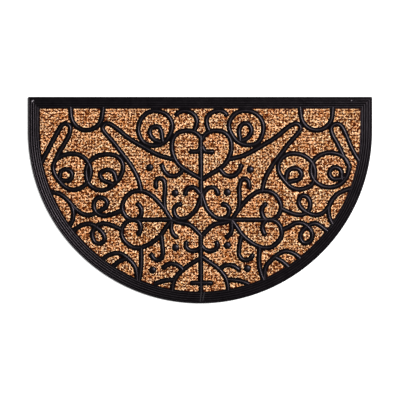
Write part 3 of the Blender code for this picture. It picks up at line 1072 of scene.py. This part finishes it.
@dataclass
class MouldMarks:
    """Small marks on the border: a nick and a speck by the corners, painted pale grey as highlights, and the
    mould's seam at the bottom, painted a lighter grey than the rubber as a highlight on its webs.

    Attributes:
        scrollwork: Gives the section of the nick and of the seam's webs.
        nick: Middle of the nick's bend.
        nick_radius: Radius of the bend.
        nick_turns: Directions from the middle at the nick's two ends, in degrees.
        nick_width: Width of the nick, as a share of a bar's.
        steps: Steps along the nick.
        speck: Middle of the speck.
        speck_width: Its width.
        rise: Height of the nick and the speck, as a share of a bar's.
        seam: Ends of the two thin webs that run over the ridges, where the mould's halves met.
        seam_width: Width of a web, as a share of a bar's.
        seam_rise: Height of a web, as a share of a bar's.
        seam_steps: Steps along a web.
        pale: Finish of the nick and the speck, pale grey: a painted highlight.
        seam_painted_highlight: Finish of the webs, a grey lighter than the rubber's: a painted highlight on
            their crests.
    """

    scrollwork: Scrollwork
    nick: Spot = Spot(-369.2, 218.0)
    nick_radius: float = 2.4 * MM
    nick_turns: tuple[float, float] = (75, 205)
    nick_width: float = 0.19
    steps: int = 8
    speck: Spot = Spot(335.0, 220.3)
    speck_width: float = 1.6 * MM
    rise: float = 1.11
    seam: tuple[tuple[Spot, Spot], ...] = (
        (Spot(2.7, -204), Spot(0.2, -224.5)), (Spot(9.5, -204), Spot(5.8, -223.5)),
    )
    seam_width: float = 0.30
    seam_rise: float = 1.06
    seam_steps: int = 3
    # Pale grey base colour: a painted highlight on the nick and the speck.
    pale: RubberFinish = RubberFinish(black=(0.40, 0.37, 0.40), dusty=(0.55, 0.52, 0.55), gloss=0.2)
    # Grey lighter than the rubber: a painted highlight on the seam's webs.
    seam_painted_highlight: RubberFinish = RubberFinish(black=(0.018, 0.017, 0.018), dusty=(0.034, 0.031, 0.034))

    def painted_highlight_marks(self) -> list[bmesh.types.BMesh]:
        """Shape the nick and the speck.

        Returns:
            One closed mesh for each.
        """
        turns = np.radians(np.linspace(*self.nick_turns, self.steps + 1))
        bend = np.array(self.nick) * MM + self.nick_radius * np.column_stack((np.cos(turns), np.sin(turns)))
        nick = self.scrollwork.bar(bend, FreeEnd.NONE, closed=False, width=self.nick_width, rise=self.rise)
        speck = self.scrollwork.stud(np.array(self.speck) * MM, self.speck_width)
        lift = (self.rise - 1) * (self.scrollwork.top - self.scrollwork.foot)
        bmesh.ops.translate(speck, verts=speck.verts, vec=(0, 0, lift))
        return [nick, speck]

    def webs(self) -> list[bmesh.types.BMesh]:
        """Shape the seam's webs.

        Returns:
            One closed mesh for each.
        """
        runs = [np.linspace(*np.array(ends) * MM, self.seam_steps + 1) for ends in self.seam]
        size = {"closed": False, "width": self.seam_width, "rise": self.seam_rise}
        return [self.scrollwork.bar(run, FreeEnd.NONE, **size) for run in runs]

    def build(self) -> None:
        """Model the marks, as a piece for the nick and the speck and a piece for the seam, both painted
        lighter as highlights, and dress them.
        """
        for name, shapes, finish in (
            ("corner_painted_highlights", self.painted_highlight_marks(), self.pale),
            ("mould_seam_painted_highlight", self.webs(), self.seam_painted_highlight),
        ):
            piece = add_piece(name, join_shapes(name, shapes), finish.material(name), sharp_degrees=60)


def between(grid: np.ndarray, across: np.ndarray, up: np.ndarray, eased: bool = False) -> np.ndarray:
    """Read a grid of values at places between its points.

    Args:
        grid: Rows of values.
        across: Place of each reading along a row.
        up: Place of each reading across the rows.
        eased: Whether a value changes slowly by the grid's points.

    Returns:
        The values.
    """
    i, j = across.astype(int), up.astype(int)
    s, t = across - i, up - j
    if eased:
        s, t = s * s * (3 - 2 * s), t * t * (3 - 2 * t)
    low = grid[j, i] * (1 - s) + grid[j, i + 1] * s
    high = grid[j + 1, i] * (1 - s) + grid[j + 1, i + 1] * s
    return low * (1 - t) + high * t


class BarDistance:
    """Distance from any place on the mat to the nearest bar's middle line."""

    def __init__(self, outline: HalfRound, spots: np.ndarray, cell: float = 1.5 * MM) -> None:
        """Measure the distance over a grid.

        Args:
            outline: The mat's outline.
            spots: Places along the bars.
            cell: Size of the grid's cells.
        """
        tree = KDTree(len(spots))
        for index, spot in enumerate(spots):
            tree.insert((*spot, 0), index)
        tree.balance()
        self.cell = cell
        self.corner = np.array((-outline.length / 2, -outline.depth / 2))
        columns = math.ceil(outline.length / cell) + 2
        rows = math.ceil(outline.depth / cell) + 2
        left, low = self.corner
        self.grid = np.array([
            [tree.find((left + i * cell, low + j * cell, 0))[2] for i in range(columns)] for j in range(rows)
        ])

    def at(self, x: np.ndarray, y: np.ndarray) -> np.ndarray:
        """Read the distance at places on the mat.

        Args:
            x: X of each place.
            y: Y of each place.

        Returns:
            The distances.
        """
        across = np.clip((x - self.corner[0]) / self.cell, 0, self.grid.shape[1] - 1.001)
        up = np.clip((y - self.corner[1]) / self.cell, 0, self.grid.shape[0] - 1.001)
        return between(self.grid, across, up)


class SoftField:
    """A smooth random field over the mat, from a coarse grid of random numbers."""

    def __init__(self, random: np.random.Generator, reach: float, wave: float) -> None:
        """Draw the field.

        Args:
            random: Source of the numbers.
            reach: Half the size of the square that it covers.
            wave: Distance between its grid's points.
        """
        self.reach, self.wave = reach, wave
        count = math.ceil(2 * reach / wave) + 3
        self.grid = random.random((count, count))

    def at(self, x: np.ndarray, y: np.ndarray) -> np.ndarray:
        """Read the field, from 0 to 1.

        Args:
            x: X of each place.
            y: Y of each place.

        Returns:
            The values.
        """
        return between(self.grid, (x + self.reach) / self.wave, (y + self.reach) / self.wave, eased=True)


@dataclass
class CoirBed:
    """The sheet of matted coir: flat below, lumpy above, and drawn down beside the bars.

    Attributes:
        outline: The mat's outline.
        bars: Distance to the nearest bar.
        random: Source of random numbers.
        inset: Distance of the sheet's edge from the outline.
        foot: Height of its underside.
        level: Usual height of its top.
        lump: How far its lumps rise and fall.
        lump_wave: Width of a lump.
        dip: How far it is drawn down beside a bar or the border.
        dip_reach: How far from a bar the dip is felt.
        border_line: How far outside the sheet's edge the border counts as a bar's middle line.
        columns: Steps of its top along X.
        rows: Steps of its top along Y.
        evenness: Share of the columns' places that is spaced evenly. The rest crowds towards both ends.
    """

    outline: HalfRound
    bars: BarDistance
    random: np.random.Generator
    inset: float = 26.3 * MM
    foot: float = 2.3 * MM
    level: float = 6.2 * MM
    lump: float = 0.5 * MM
    lump_wave: float = 7 * MM
    dip: float = 1.2 * MM
    dip_reach: float = 9 * MM
    border_line: float = 4 * MM
    columns: int = 220
    rows: int = 120
    evenness: float = 0.35

    def __post_init__(self) -> None:
        """Draw the lumps."""
        self.lumps = SoftField(self.random, self.outline.length / 2, self.lump_wave)

    def height(self, x: np.ndarray, y: np.ndarray) -> np.ndarray:
        """Height of the sheet's top.

        Args:
            x: X of each place.
            y: Y of each place.

        Returns:
            The heights.
        """
        from_border = self.outline.inset_of(x, y) - self.inset + self.border_line
        beside = np.minimum(self.bars.at(x, y), from_border)
        drawn = np.exp(-((np.maximum(beside, 0) / self.dip_reach) ** 2))
        return self.level + self.lump * (2 * self.lumps.at(x, y) - 1) - self.dip * drawn

    def build(self, finish: CoirBedPaintedShade) -> bpy.types.Object:
        """Model the sheet and dress it.

        Args:
            finish: The sheet's finish.

        Returns:
            The piece.
        """
        bm = bmesh.new()
        bmesh.ops.create_grid(bm, x_segments=self.columns, y_segments=self.rows, size=1)
        reach = self.outline.radius - self.inset
        top = self.outline.depth / 2 - self.inset
        across, up = np.array([vert.co[:2] for vert in bm.verts]).T
        x = reach * (self.evenness * across + (1 - self.evenness) * np.sin(across * math.pi / 2))
        bottom = self.outline.arc_middle - np.sqrt(np.maximum(reach ** 2 - x ** 2, 0))
        y = bottom + (top - bottom) * (up + 1) / 2
        for vert, place in zip(bm.verts, zip(x, y, self.height(x, y))):
            vert.co = place
        rim = [edge for edge in bm.edges if edge.is_boundary]
        risen = bmesh.ops.extrude_edge_only(bm, edges=rim)["geom"]
        for vert in (item for item in risen if isinstance(item, bmesh.types.BMVert)):
            vert.co.z = self.foot
        bmesh.ops.holes_fill(bm, edges=[edge for edge in bm.edges if edge.is_boundary])
        bmesh.ops.recalc_face_normals(bm, faces=bm.faces)
        mesh = bpy.data.meshes.new("coir_bed")
        bm.to_mesh(mesh)
        bm.free()
        piece = add_piece("coir_bed", mesh, finish.material(), sharp_degrees=50)
        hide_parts("coir_sheet")
        return piece


@dataclass
class CoirGaps:
    """Short gaps between the locks of coir, a grid of them shaken out of line. The bed's painted shade shows
    in them, and fibres that cross them get painted shade.

    Attributes:
        outline: The mat's outline.
        random: Source of random numbers.
        pitch: Distance between gaps.
        shake: How far a gap is shaken from its place, as a share of the pitch.
        length: Shortest and longest gap.
        half_width: Narrowest and widest gap, as half its width.
        heading_spread: Spread of the gaps' headings about +X, in degrees.
        cell: Size of the cells of the map that the gaps are drawn on.
        spots: Spots along and across a gap that are marked on the map.
        taper: How much a gap narrows towards its ends, 0 for not at all and 2 for a point.
    """

    outline: HalfRound
    random: np.random.Generator
    pitch: float = 6.6 * MM
    shake: float = 0.27
    length: tuple[float, float] = (2.2 * MM, 4.8 * MM)
    half_width: tuple[float, float] = (0.5 * MM, 1.1 * MM)
    heading_spread: float = 60.0
    cell: float = 0.4 * MM
    spots: tuple[int, int] = (21, 9)
    taper: float = 1.8

    def __post_init__(self) -> None:
        """Draw the gaps on a map of the mat."""
        draw, outline = self.random, self.outline
        columns, rows = round(outline.length / self.pitch), round(outline.depth / self.pitch)
        i, j = np.meshgrid(np.arange(columns) + 0.5, np.arange(rows) + 0.5)
        x = ((i + draw.uniform(-self.shake, self.shake, i.shape)) * self.pitch - outline.length / 2).ravel()
        y = ((j + draw.uniform(-self.shake, self.shake, j.shape)) * self.pitch - outline.depth / 2).ravel()
        heading = np.radians(draw.normal(0, self.heading_spread, len(x)))
        length = draw.uniform(*self.length, len(x))
        half_width = draw.uniform(*self.half_width, len(x))
        size = (math.ceil(outline.depth / self.cell) + 1, math.ceil(outline.length / self.cell) + 1)
        self.map = np.zeros(size, bool)
        for along in np.linspace(-0.5, 0.5, self.spots[0]):
            narrow = math.sqrt(1 - (self.taper * along) ** 2)
            for across in np.linspace(-1, 1, self.spots[1]) * narrow:
                run, side = along * length, across * half_width
                self.map[self._cells(
                    x + np.cos(heading) * run - np.sin(heading) * side,
                    y + np.sin(heading) * run + np.cos(heading) * side,
                )] = True

    def _cells(self, x: np.ndarray, y: np.ndarray) -> tuple[np.ndarray, np.ndarray]:
        """Row and column of the map at each place."""
        column = ((x + self.outline.length / 2) / self.cell).astype(int)
        row = ((y + self.outline.depth / 2) / self.cell).astype(int)
        return np.clip(row, 0, self.map.shape[0] - 1), np.clip(column, 0, self.map.shape[1] - 1)

    def at(self, x: np.ndarray, y: np.ndarray) -> np.ndarray:
        """Whether each place lies in a gap.

        Args:
            x: X of each place.
            y: Y of each place.

        Returns:
            True in a gap.
        """
        return self.map[self._cells(x, y)]


@dataclass
class CoirFibres:
    """Locks of coir fibre that lie over the bed, each fibre a slim curved spindle.

    Attributes:
        bed: The bed that they lie on.
        scrollwork: The bars that they lie between.
        random: Source of random numbers.
        finish: The fibres' finish.
        gaps: The gaps between the locks.
        pitch: Distance between locks.
        fibres: Fibres of a lock.
        batches: Pieces that the fibres are shared among.
        most: Greatest number of fibres, which keeps each piece within the triangles that a piece may have.
        deep_share: Share of the fibres that cross a gap and are kept, deep down.
        clear_of_bar: Least distance of a lock's middle from a bar's middle line.
        tuck: Least distance of a fibre's tips from a bar's middle line.
        rim: Distance of the fibres that lie along a bar from its middle line.
        rim_step: Distance between them.
        rim_spread: Spread of their headings, in degrees.
        rim_shake: How far they are shaken from their places.
        rim_length: Shortest and longest of them.
        rim_half_width: Thinnest and thickest of them, as half the width.
        rim_clear: How much nearer to a bar's middle line than that distance one of them may lie.
        rim_border: Distance of the fibres that lie along the border from the coir's edge.
        rim_tone_with_painted_light: Middle and spread of their tones, lighter than most locks': a painted
            highlight beside the bars and the border.
        rim_level: Lowest and highest of them, as shares of the lift.
        rim_bend: How far they bend aside.
        clear_of_border: Least distance of a fibre from the outline.
        length: Shortest and longest fibre.
        half_width: Thinnest and thickest fibre, as half its width.
        bend: How far a fibre bends aside, as a share of its length.
        waist: Share of a fibre's length that has its full width.
        tip: Place along a fibre a unit long, from its middle, past which it counts as its tip.
        flatness: Height of a fibre, as a share of its width.
        droop: How far its tips hang under its middle.
        strand: Distance between the fibres of a lock.
        strand_shake: How far they are shaken from their places in it.
        strand_spread: Spread of their headings, in degrees.
        lift: How far the highest lock lies above the lowest.
        sunk: How much lower the fibres in a gap lie.
        combed_wave: Width of the areas that are combed along X or lie in a tangle.
        drift_wave: Width of the areas that share a heading.
        drift: How far these headings differ, in degrees.
        light_wave: Width of the lighter and darker areas.
        light: How far their tones differ.
        low_tone: Tone of the lowest lock, under the painted light that grows with height.
        lift_painted_light: How much lighter the highest lock is: painted light and shade by height.
        tone_spread: Spread of the locks' tones.
        strand_tones: Darkest and lightest fibre of a lock, as shares of the lock's tone.
        red_wave: Width of the redder and yellower areas.
        red_spread: Spread of the redness from lock to lock.
        redden: What the reddest lock has more of red, green and blue than the yellowest.
        gap_painted_shade: Painted shade of the fibres in a gap, as a share of their own tone squared.
        lit_edge: How much lighter the fibres beside a bar are.
        lit_reach: How far from a bar they are lighter.
        shade: Tone of a fibre at its tips, along its sides and on its back.
        dark: Linear colour of the darkest fibre.
        brown: Linear colour of brown fibre.
        straw: Linear colour of straw-coloured fibre.
        pale: Linear colour of the palest fibre.
    """

    bed: CoirBed
    scrollwork: Scrollwork
    random: np.random.Generator
    finish: FibreFinish
    gaps: CoirGaps
    pitch: float = 1.75 * MM
    fibres: int = 2
    batches: int = 4
    most: int = 62000
    deep_share: float = 0.03
    clear_of_bar: float = 5.4 * MM
    tuck: float = 4.8 * MM
    rim: float = 6.8 * MM
    rim_step: float = 2.4 * MM
    rim_spread: float = 28.0
    rim_shake: float = 0.35 * MM
    rim_length: tuple[float, float] = (2.6 * MM, 4.6 * MM)
    rim_half_width: tuple[float, float] = (0.5 * MM, 0.85 * MM)
    rim_clear: float = 1.4 * MM
    rim_border: float = 0.9 * MM
    rim_tone_with_painted_light: tuple[float, float] = (0.74, 0.20)
    rim_level: tuple[float, float] = (0.2, 0.9)
    rim_bend: float = 0.15 * MM
    clear_of_border: float = 26.4 * MM
    length: tuple[float, float] = (2.6 * MM, 5.2 * MM)
    half_width: tuple[float, float] = (0.40 * MM, 0.72 * MM)
    bend: float = 0.14
    waist: float = 0.52
    tip: float = 0.4
    flatness: float = 0.8
    droop: float = 0.9 * MM
    strand: float = 0.8 * MM
    strand_shake: float = 0.2 * MM
    strand_spread: float = 9.0
    lift: float = 1.5 * MM
    sunk: float = 1.0 * MM
    combed_wave: float = 45 * MM
    drift_wave: float = 30 * MM
    drift: float = 80.0
    light_wave: float = 22 * MM
    light: float = 0.10
    low_tone: float = 0.38
    lift_painted_light: float = 0.38
    tone_spread: float = 0.32
    strand_tones: tuple[float, float] = (0.72, 1.28)
    red_wave: float = 26 * MM
    red_spread: float = 0.18
    redden: Colour = (0.10, -0.12, -0.22)
    gap_painted_shade: float = 0.5
    lit_edge: float = 0.22
    lit_reach: float = 1.8 * MM
    shade: tuple[float, float, float] = (0.62, 0.85, 1.08)
    dark: Colour = (0.050, 0.0065, 0.0005)
    brown: Colour = (0.275, 0.083, 0.017)
    straw: Colour = (0.570, 0.262, 0.096)
    pale: Colour = (0.950, 0.615, 0.370)

    def template(self) -> tuple[np.ndarray, np.ndarray, np.ndarray]:
        """Model one fibre a unit long: a three-sided prism with drawn-out tips.

        Returns:
            Its points, its triangles, and the place of each triangle's corners on the fibre's own flat map.
        """
        bm = bmesh.new()
        bmesh.ops.create_circle(bm, cap_ends=True, segments=3, radius=1)
        bmesh.ops.rotate(bm, verts=bm.verts, cent=(0, 0, 0), matrix=Matrix.Rotation(-math.pi / 2, 3, "Y"))
        bmesh.ops.translate(bm, verts=bm.verts, vec=(-self.waist / 2, 0, 0))
        risen = bmesh.ops.extrude_face_region(bm, geom=list(bm.faces))["geom"]
        moved = [item for item in risen if isinstance(item, bmesh.types.BMVert)]
        bmesh.ops.translate(bm, verts=moved, vec=(self.waist, 0, 0))
        for cap in [face for face in bm.faces if len(face.verts) == 3]:
            tip = bmesh.ops.poke(bm, faces=[cap])["verts"][0]
            tip.co.x = math.copysign(0.5, tip.co.x)
        bmesh.ops.triangulate(bm, faces=bm.faces)
        bmesh.ops.recalc_face_normals(bm, faces=bm.faces)
        bm.verts.index_update()
        points = np.array([vert.co[:] for vert in bm.verts])
        faces = np.array([[vert.index for vert in face.verts] for face in bm.faces])
        bm.free()
        turns = np.round(np.arctan2(points[:, 1], points[:, 2]) / (math.tau / 3)).astype(int) % 3
        flat = np.zeros((*faces.shape, 2))
        for row, face in zip(flat, faces):
            is_tip = np.abs(points[face, 0]) > self.tip
            around = turns[face].astype(float)
            if {0, 2} <= set(turns[face][~is_tip]):
                around[around == 0] = 3
            around[is_tip] = around[~is_tip].mean()
            row[:, 0] = points[face, 0] + 0.5
            row[:, 1] = around / 3
        return points, faces, flat

    def locks(self) -> dict[str, np.ndarray]:
        """Lay the locks out and give each its fibres.

        Returns:
            For each fibre its middle, heading, length, half width, bend, level and colour, and whether it lies
            along a bar.
        """
        draw = self.random
        outline, bars = self.bed.outline, self.bed.bars
        columns, rows = round(outline.length / self.pitch), round(outline.depth / self.pitch)
        x, y = np.meshgrid(np.arange(columns) + 0.5, np.arange(rows) + 0.5)
        x = ((x + draw.uniform(-0.5, 0.5, x.shape)) * self.pitch - outline.length / 2).ravel()
        y = ((y + draw.uniform(-0.5, 0.5, y.shape)) * self.pitch - outline.depth / 2).ravel()
        free = (bars.at(x, y) > self.clear_of_bar) & (outline.inset_of(x, y) > self.clear_of_border)
        x, y = x[free], y[free]
        reach = outline.length / 2
        combed = SoftField(draw, reach, self.combed_wave).at(x, y)
        drift = self.drift * (SoftField(draw, reach, self.drift_wave).at(x, y) - 0.5)
        heading = draw.uniform(-90, 90, len(x)) * np.clip(1.6 - 1.4 * combed, 0.5, 1) + drift
        level = draw.random(len(x))
        # Higher locks are painted lighter and lower ones darker: painted light and shade by height.
        value = self.low_tone + self.lift_painted_light * level + draw.normal(0, self.tone_spread, len(x))
        value += self.light * (SoftField(draw, reach, self.light_wave).at(x, y) - 0.5)
        beside = np.minimum(bars.at(x, y) - self.clear_of_bar, outline.inset_of(x, y) - self.clear_of_border)
        value += self.lit_edge * np.exp(-((beside / self.lit_reach) ** 2))
        red = SoftField(draw, reach, self.red_wave).at(x, y) + draw.normal(0, self.red_spread, len(x))
        colour = self.tones(value)
        colour *= 1 + (np.clip(red, 0, 1)[:, None] - 0.5) * self.redden
        made = {"x": x, "y": y, "heading": heading, "level": level}
        made = {name: np.repeat(values, self.fibres) for name, values in made.items()}
        made["colour"] = np.repeat(colour, self.fibres, axis=0)
        count = len(made["x"])
        across = (np.arange(count) % self.fibres - (self.fibres - 1) / 2) * self.strand
        across += draw.normal(0, self.strand_shake, count)
        made["heading"] = np.radians(made["heading"] + draw.normal(0, self.strand_spread, count))
        made["x"] = made["x"] - np.sin(made["heading"]) * across
        made["y"] = made["y"] + np.cos(made["heading"]) * across
        made["length"] = draw.uniform(*self.length, count)
        made["half_width"] = draw.uniform(*self.half_width, count)
        made["bend"] = draw.normal(0, self.bend, count) * made["length"]
        made["colour"] = made["colour"] * draw.uniform(*self.strand_tones, count)[:, None]
        made["along_bar"] = np.zeros(count, bool)
        rims = self.rims()
        return {name: np.concatenate((rims[name], values)) for name, values in made.items()}

    def tones(self, value: np.ndarray) -> np.ndarray:
        """Linear colour of fibres from dark, at 0, to pale, at 1."""
        steps = (self.dark, self.brown, self.straw, self.pale)
        return np.column_stack([np.interp(value, (0, 0.35, 0.65, 1), channel) for channel in zip(*steps)])

    def rims(self) -> dict[str, np.ndarray]:
        """Lay the fibres that lie along the bars and the border, where the coir is pressed up against them.

        Returns:
            The same for each of them as for the locks' fibres.
        """
        draw, outline = self.random, self.bed.outline
        places = self.scrollwork.beside(self.rim, self.rim_step)
        edge = np.array(outline.ring(self.clear_of_border + self.rim_border))
        course = np.roll(edge, -1, axis=0) - edge
        spots = []
        for point, step in zip(edge, course):
            for share in np.arange(0, 1, self.rim_step / math.hypot(*step)):
                spots.append((*(point + step * share), math.atan2(step[1], step[0])))
        x, y, heading = np.vstack((places, spots)).T
        x = x + draw.normal(0, self.rim_shake, len(x))
        y = y + draw.normal(0, self.rim_shake, len(x))
        free = self.bed.bars.at(x, y) > self.rim - self.rim_clear
        free &= outline.inset_of(x, y) > self.clear_of_border + self.rim_border / 3
        x, y, heading = x[free], y[free], heading[free]
        count = len(x)
        return {
            "x": x,
            "y": y,
            "heading": heading + np.radians(draw.normal(0, self.rim_spread, count)),
            "level": draw.uniform(*self.rim_level, count),
            # Light tone of the rim fibres: a painted highlight beside the bars and the border.
            "colour": self.tones(draw.normal(*self.rim_tone_with_painted_light, count)),
            "length": draw.uniform(*self.rim_length, count),
            "half_width": draw.uniform(*self.rim_half_width, count),
            "bend": draw.normal(0, self.rim_bend, count),
            "along_bar": np.ones(count, bool),
        }

    def build(self) -> list[bpy.types.Object]:
        """Model the fibres, a batch at a time, and dress them.

        Returns:
            The pieces.
        """
        points, faces, flat = self.template()
        lay = self.locks()
        along = points[:, 0]
        hump = 1 - (2 * along) ** 2
        cos, sin = np.cos(lay["heading"])[:, None], np.sin(lay["heading"])[:, None]
        run = lay["length"][:, None] * along
        side = lay["half_width"][:, None] * points[:, 1] + lay["bend"][:, None] * hump
        x = lay["x"][:, None] + cos * run - sin * side
        y = lay["y"][:, None] + sin * run + cos * side
        base = self.bed.height(lay["x"], lay["y"]) + lay["level"] * self.lift
        z = base[:, None] + lay["half_width"][:, None] * self.flatness * points[:, 2]
        z -= self.droop * (2 * along) ** 2
        tips = np.abs(along) > self.tip
        kept = (self.bed.bars.at(x[:, tips], y[:, tips]) > self.tuck).all(axis=1)
        kept &= (self.bed.outline.inset_of(x, y) > self.clear_of_border).all(axis=1)
        crossing = self.gaps.at(x, y).any(axis=1) | self.gaps.at(lay["x"], lay["y"])
        kept &= ~crossing | (self.random.random(len(kept)) < self.deep_share)
        # Fibres that cross a gap lie lower and get painted shade, darker and redder.
        z[crossing] -= self.sunk
        tones = np.where(crossing[:, None], self.gap_painted_shade * lay["colour"] ** 2, lay["colour"])
        kept = np.flatnonzero(kept)
        beside = kept[lay["along_bar"][kept]]
        others = self.random.permutation(kept[~lay["along_bar"][kept]])[:self.most - len(beside)]
        kept = self.random.permutation(np.concatenate((beside, others)))
        at_tips, at_sides, on_back = self.shade
        shade = np.where(tips, at_tips, np.where(points[:, 2] > 0.5, on_back, at_sides))
        places = np.stack((x, y, z), axis=2)[kept]
        tones = (tones[:, None, :] * shade[None, :, None])[kept]
        material = self.finish.material()
        return [
            self.batch(f"coir_fibres_{index + 1}", places[index::self.batches], tones[index::self.batches],
                       faces, flat, material)
            for index in range(self.batches)
        ]

    def batch(
        self, name: str, places: np.ndarray, tones: np.ndarray, faces: np.ndarray, flat: np.ndarray,
        material: bpy.types.Material,
    ) -> bpy.types.Object:
        """Join the fibres of a batch into one mesh.

        Args:
            name: Name of the piece.
            places: Points of each fibre.
            tones: Linear colour of each point, painted light and shade included.
            faces: Triangles of one fibre.
            flat: Places of one fibre's corners on its own flat map.
            material: The fibres' material.

        Returns:
            The piece.
        """
        count, corners = places.shape[:2]
        steps = np.arange(count)
        triangles = faces[None] + (steps * corners)[:, None, None]
        mesh = bpy.data.meshes.new(name)
        mesh.from_pydata(places.reshape(-1, 3), [], triangles.reshape(-1, 3))
        tone = mesh.attributes.new(self.finish.tone, "FLOAT_COLOR", "POINT")
        opaque = np.ones((count * corners, 4), np.float32)
        opaque[:, :3] = np.clip(tones, 0, 1).reshape(-1, 3)
        tone.data.foreach_set("color", opaque.ravel())
        cells = math.ceil(math.sqrt(count))
        cell = np.stack((steps % cells, steps // cells), axis=1)[:, None, None, :]
        uv = (cell + 0.08 + 0.84 * flat[None]) / cells
        layer = mesh.uv_layers.new(name="OFBake")
        layer.uv.foreach_set("vector", uv.astype(np.float32).ravel())
        piece = add_piece(name, mesh, material, sharp_degrees=180)
        return piece


class Lamp(NamedTuple):
    """A soft square lamp that looks at the mat.

    Attributes:
        name: Name of the lamp.
        azimuth: Degrees, 0 towards +X and 90 towards the straight edge.
        zenith: Degrees from straight up.
        size: Length of its sides.
        power: Watts.
    """

    name: str
    azimuth: float
    zenith: float
    size: float
    power: float


@dataclass
class Studio:
    """Pale floor, soft lamps and the camera straight above the mat.

    Attributes:
        lamps: The lamps.
        lamp_distance: Distance of the lamps from the mat.
        sky: Linear grey of the surroundings.
        view_width: Width that the camera sees at the mat's top.
        lens: Focal length, in millimetres.
        sensor: Width of the sensor, in millimetres.
        aim: X and Y of the middle of the view.
        floor_size: Half the side of the floor.
        floor_gap: Gap between the floor and the mat's underside.
    """

    lamps: tuple[Lamp, ...] = (
        Lamp("key", 30, 17, 1.4, 1440),
        Lamp("fill", 35, 50, 6.0, 230),
    )
    lamp_distance: float = 8.0
    sky: float = 0.09
    view_width: float = 0.8850
    lens: float = 300
    sensor: float = 36
    aim: tuple[float, float] = (-0.0002, 0.0002)
    floor_size: float = 3.0
    floor_gap: float = 0.1 * MM

    def build(self, top: float, finish: FloorFinish) -> None:
        """Set the studio up.

        Args:
            top: Height of the mat's top.
            finish: The floor's finish.
        """
        bm = bmesh.new()
        bmesh.ops.create_grid(bm, x_segments=4, y_segments=4, size=self.floor_size)
        mesh = bpy.data.meshes.new("floor")
        bm.to_mesh(mesh)
        bm.free()
        mesh.materials.append(finish.material())
        floor = bpy.data.objects.new("floor", mesh)
        floor.location.z = -self.floor_gap
        bpy.context.scene.collection.objects.link(floor)
        for lamp in self.lamps:
            self.hang(lamp)
        world = bpy.data.worlds.new("studio")
        world.use_nodes = True
        world.node_tree.nodes["Background"].inputs["Color"].default_value = (*(self.sky,) * 3, 1.0)
        bpy.context.scene.world = world
        bpy.context.scene.view_settings.view_transform = "Standard"
        data = bpy.data.cameras.new("camera")
        data.lens, data.sensor_width = self.lens, self.sensor
        camera = bpy.data.objects.new("camera", data)
        camera.location = (*self.aim, top + self.view_width * self.lens / self.sensor)
        bpy.context.scene.collection.objects.link(camera)
        bpy.context.scene.camera = camera

    def hang(self, lamp: Lamp) -> None:
        """Hang a lamp so that it looks at the mat.

        Args:
            lamp: The lamp.
        """
        data = bpy.data.lights.new(lamp.name, "AREA")
        data.shape = "SQUARE"
        data.size, data.energy = lamp.size, lamp.power
        turn, lean = math.radians(lamp.azimuth), math.radians(lamp.zenith)
        away = Vector((math.cos(turn) * math.sin(lean), math.sin(turn) * math.sin(lean), math.cos(lean)))
        light = bpy.data.objects.new(lamp.name, data)
        light.location = away * self.lamp_distance
        light.rotation_euler = away.to_track_quat("Z", "Y").to_euler()
        bpy.context.scene.collection.objects.link(light)


def main() -> None:
    """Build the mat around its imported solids, and the studio round it."""
    logging.basicConfig(level=logging.INFO, format="%(name)s: %(message)s")
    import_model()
    low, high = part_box("rubber_moulding")
    size = high - low
    random = np.random.default_rng(SEED)

    outline = HalfRound(length=size.x, depth=size.y)
    scrollwork = Scrollwork(outline)
    rubber = RubberMoulding(outline, scrollwork).build(RubberFinish())
    MouldMarks(scrollwork).build()
    bars = BarDistance(outline, scrollwork.spots())
    bed = CoirBed(outline, bars, random)
    sheet = bed.build(CoirBedPaintedShade())
    fibres = CoirFibres(bed, scrollwork, random, FibreFinish(), CoirGaps(outline, random)).build()
    Studio().build(high.z, FloorFinish())


if __name__ == "__main__":
    main()
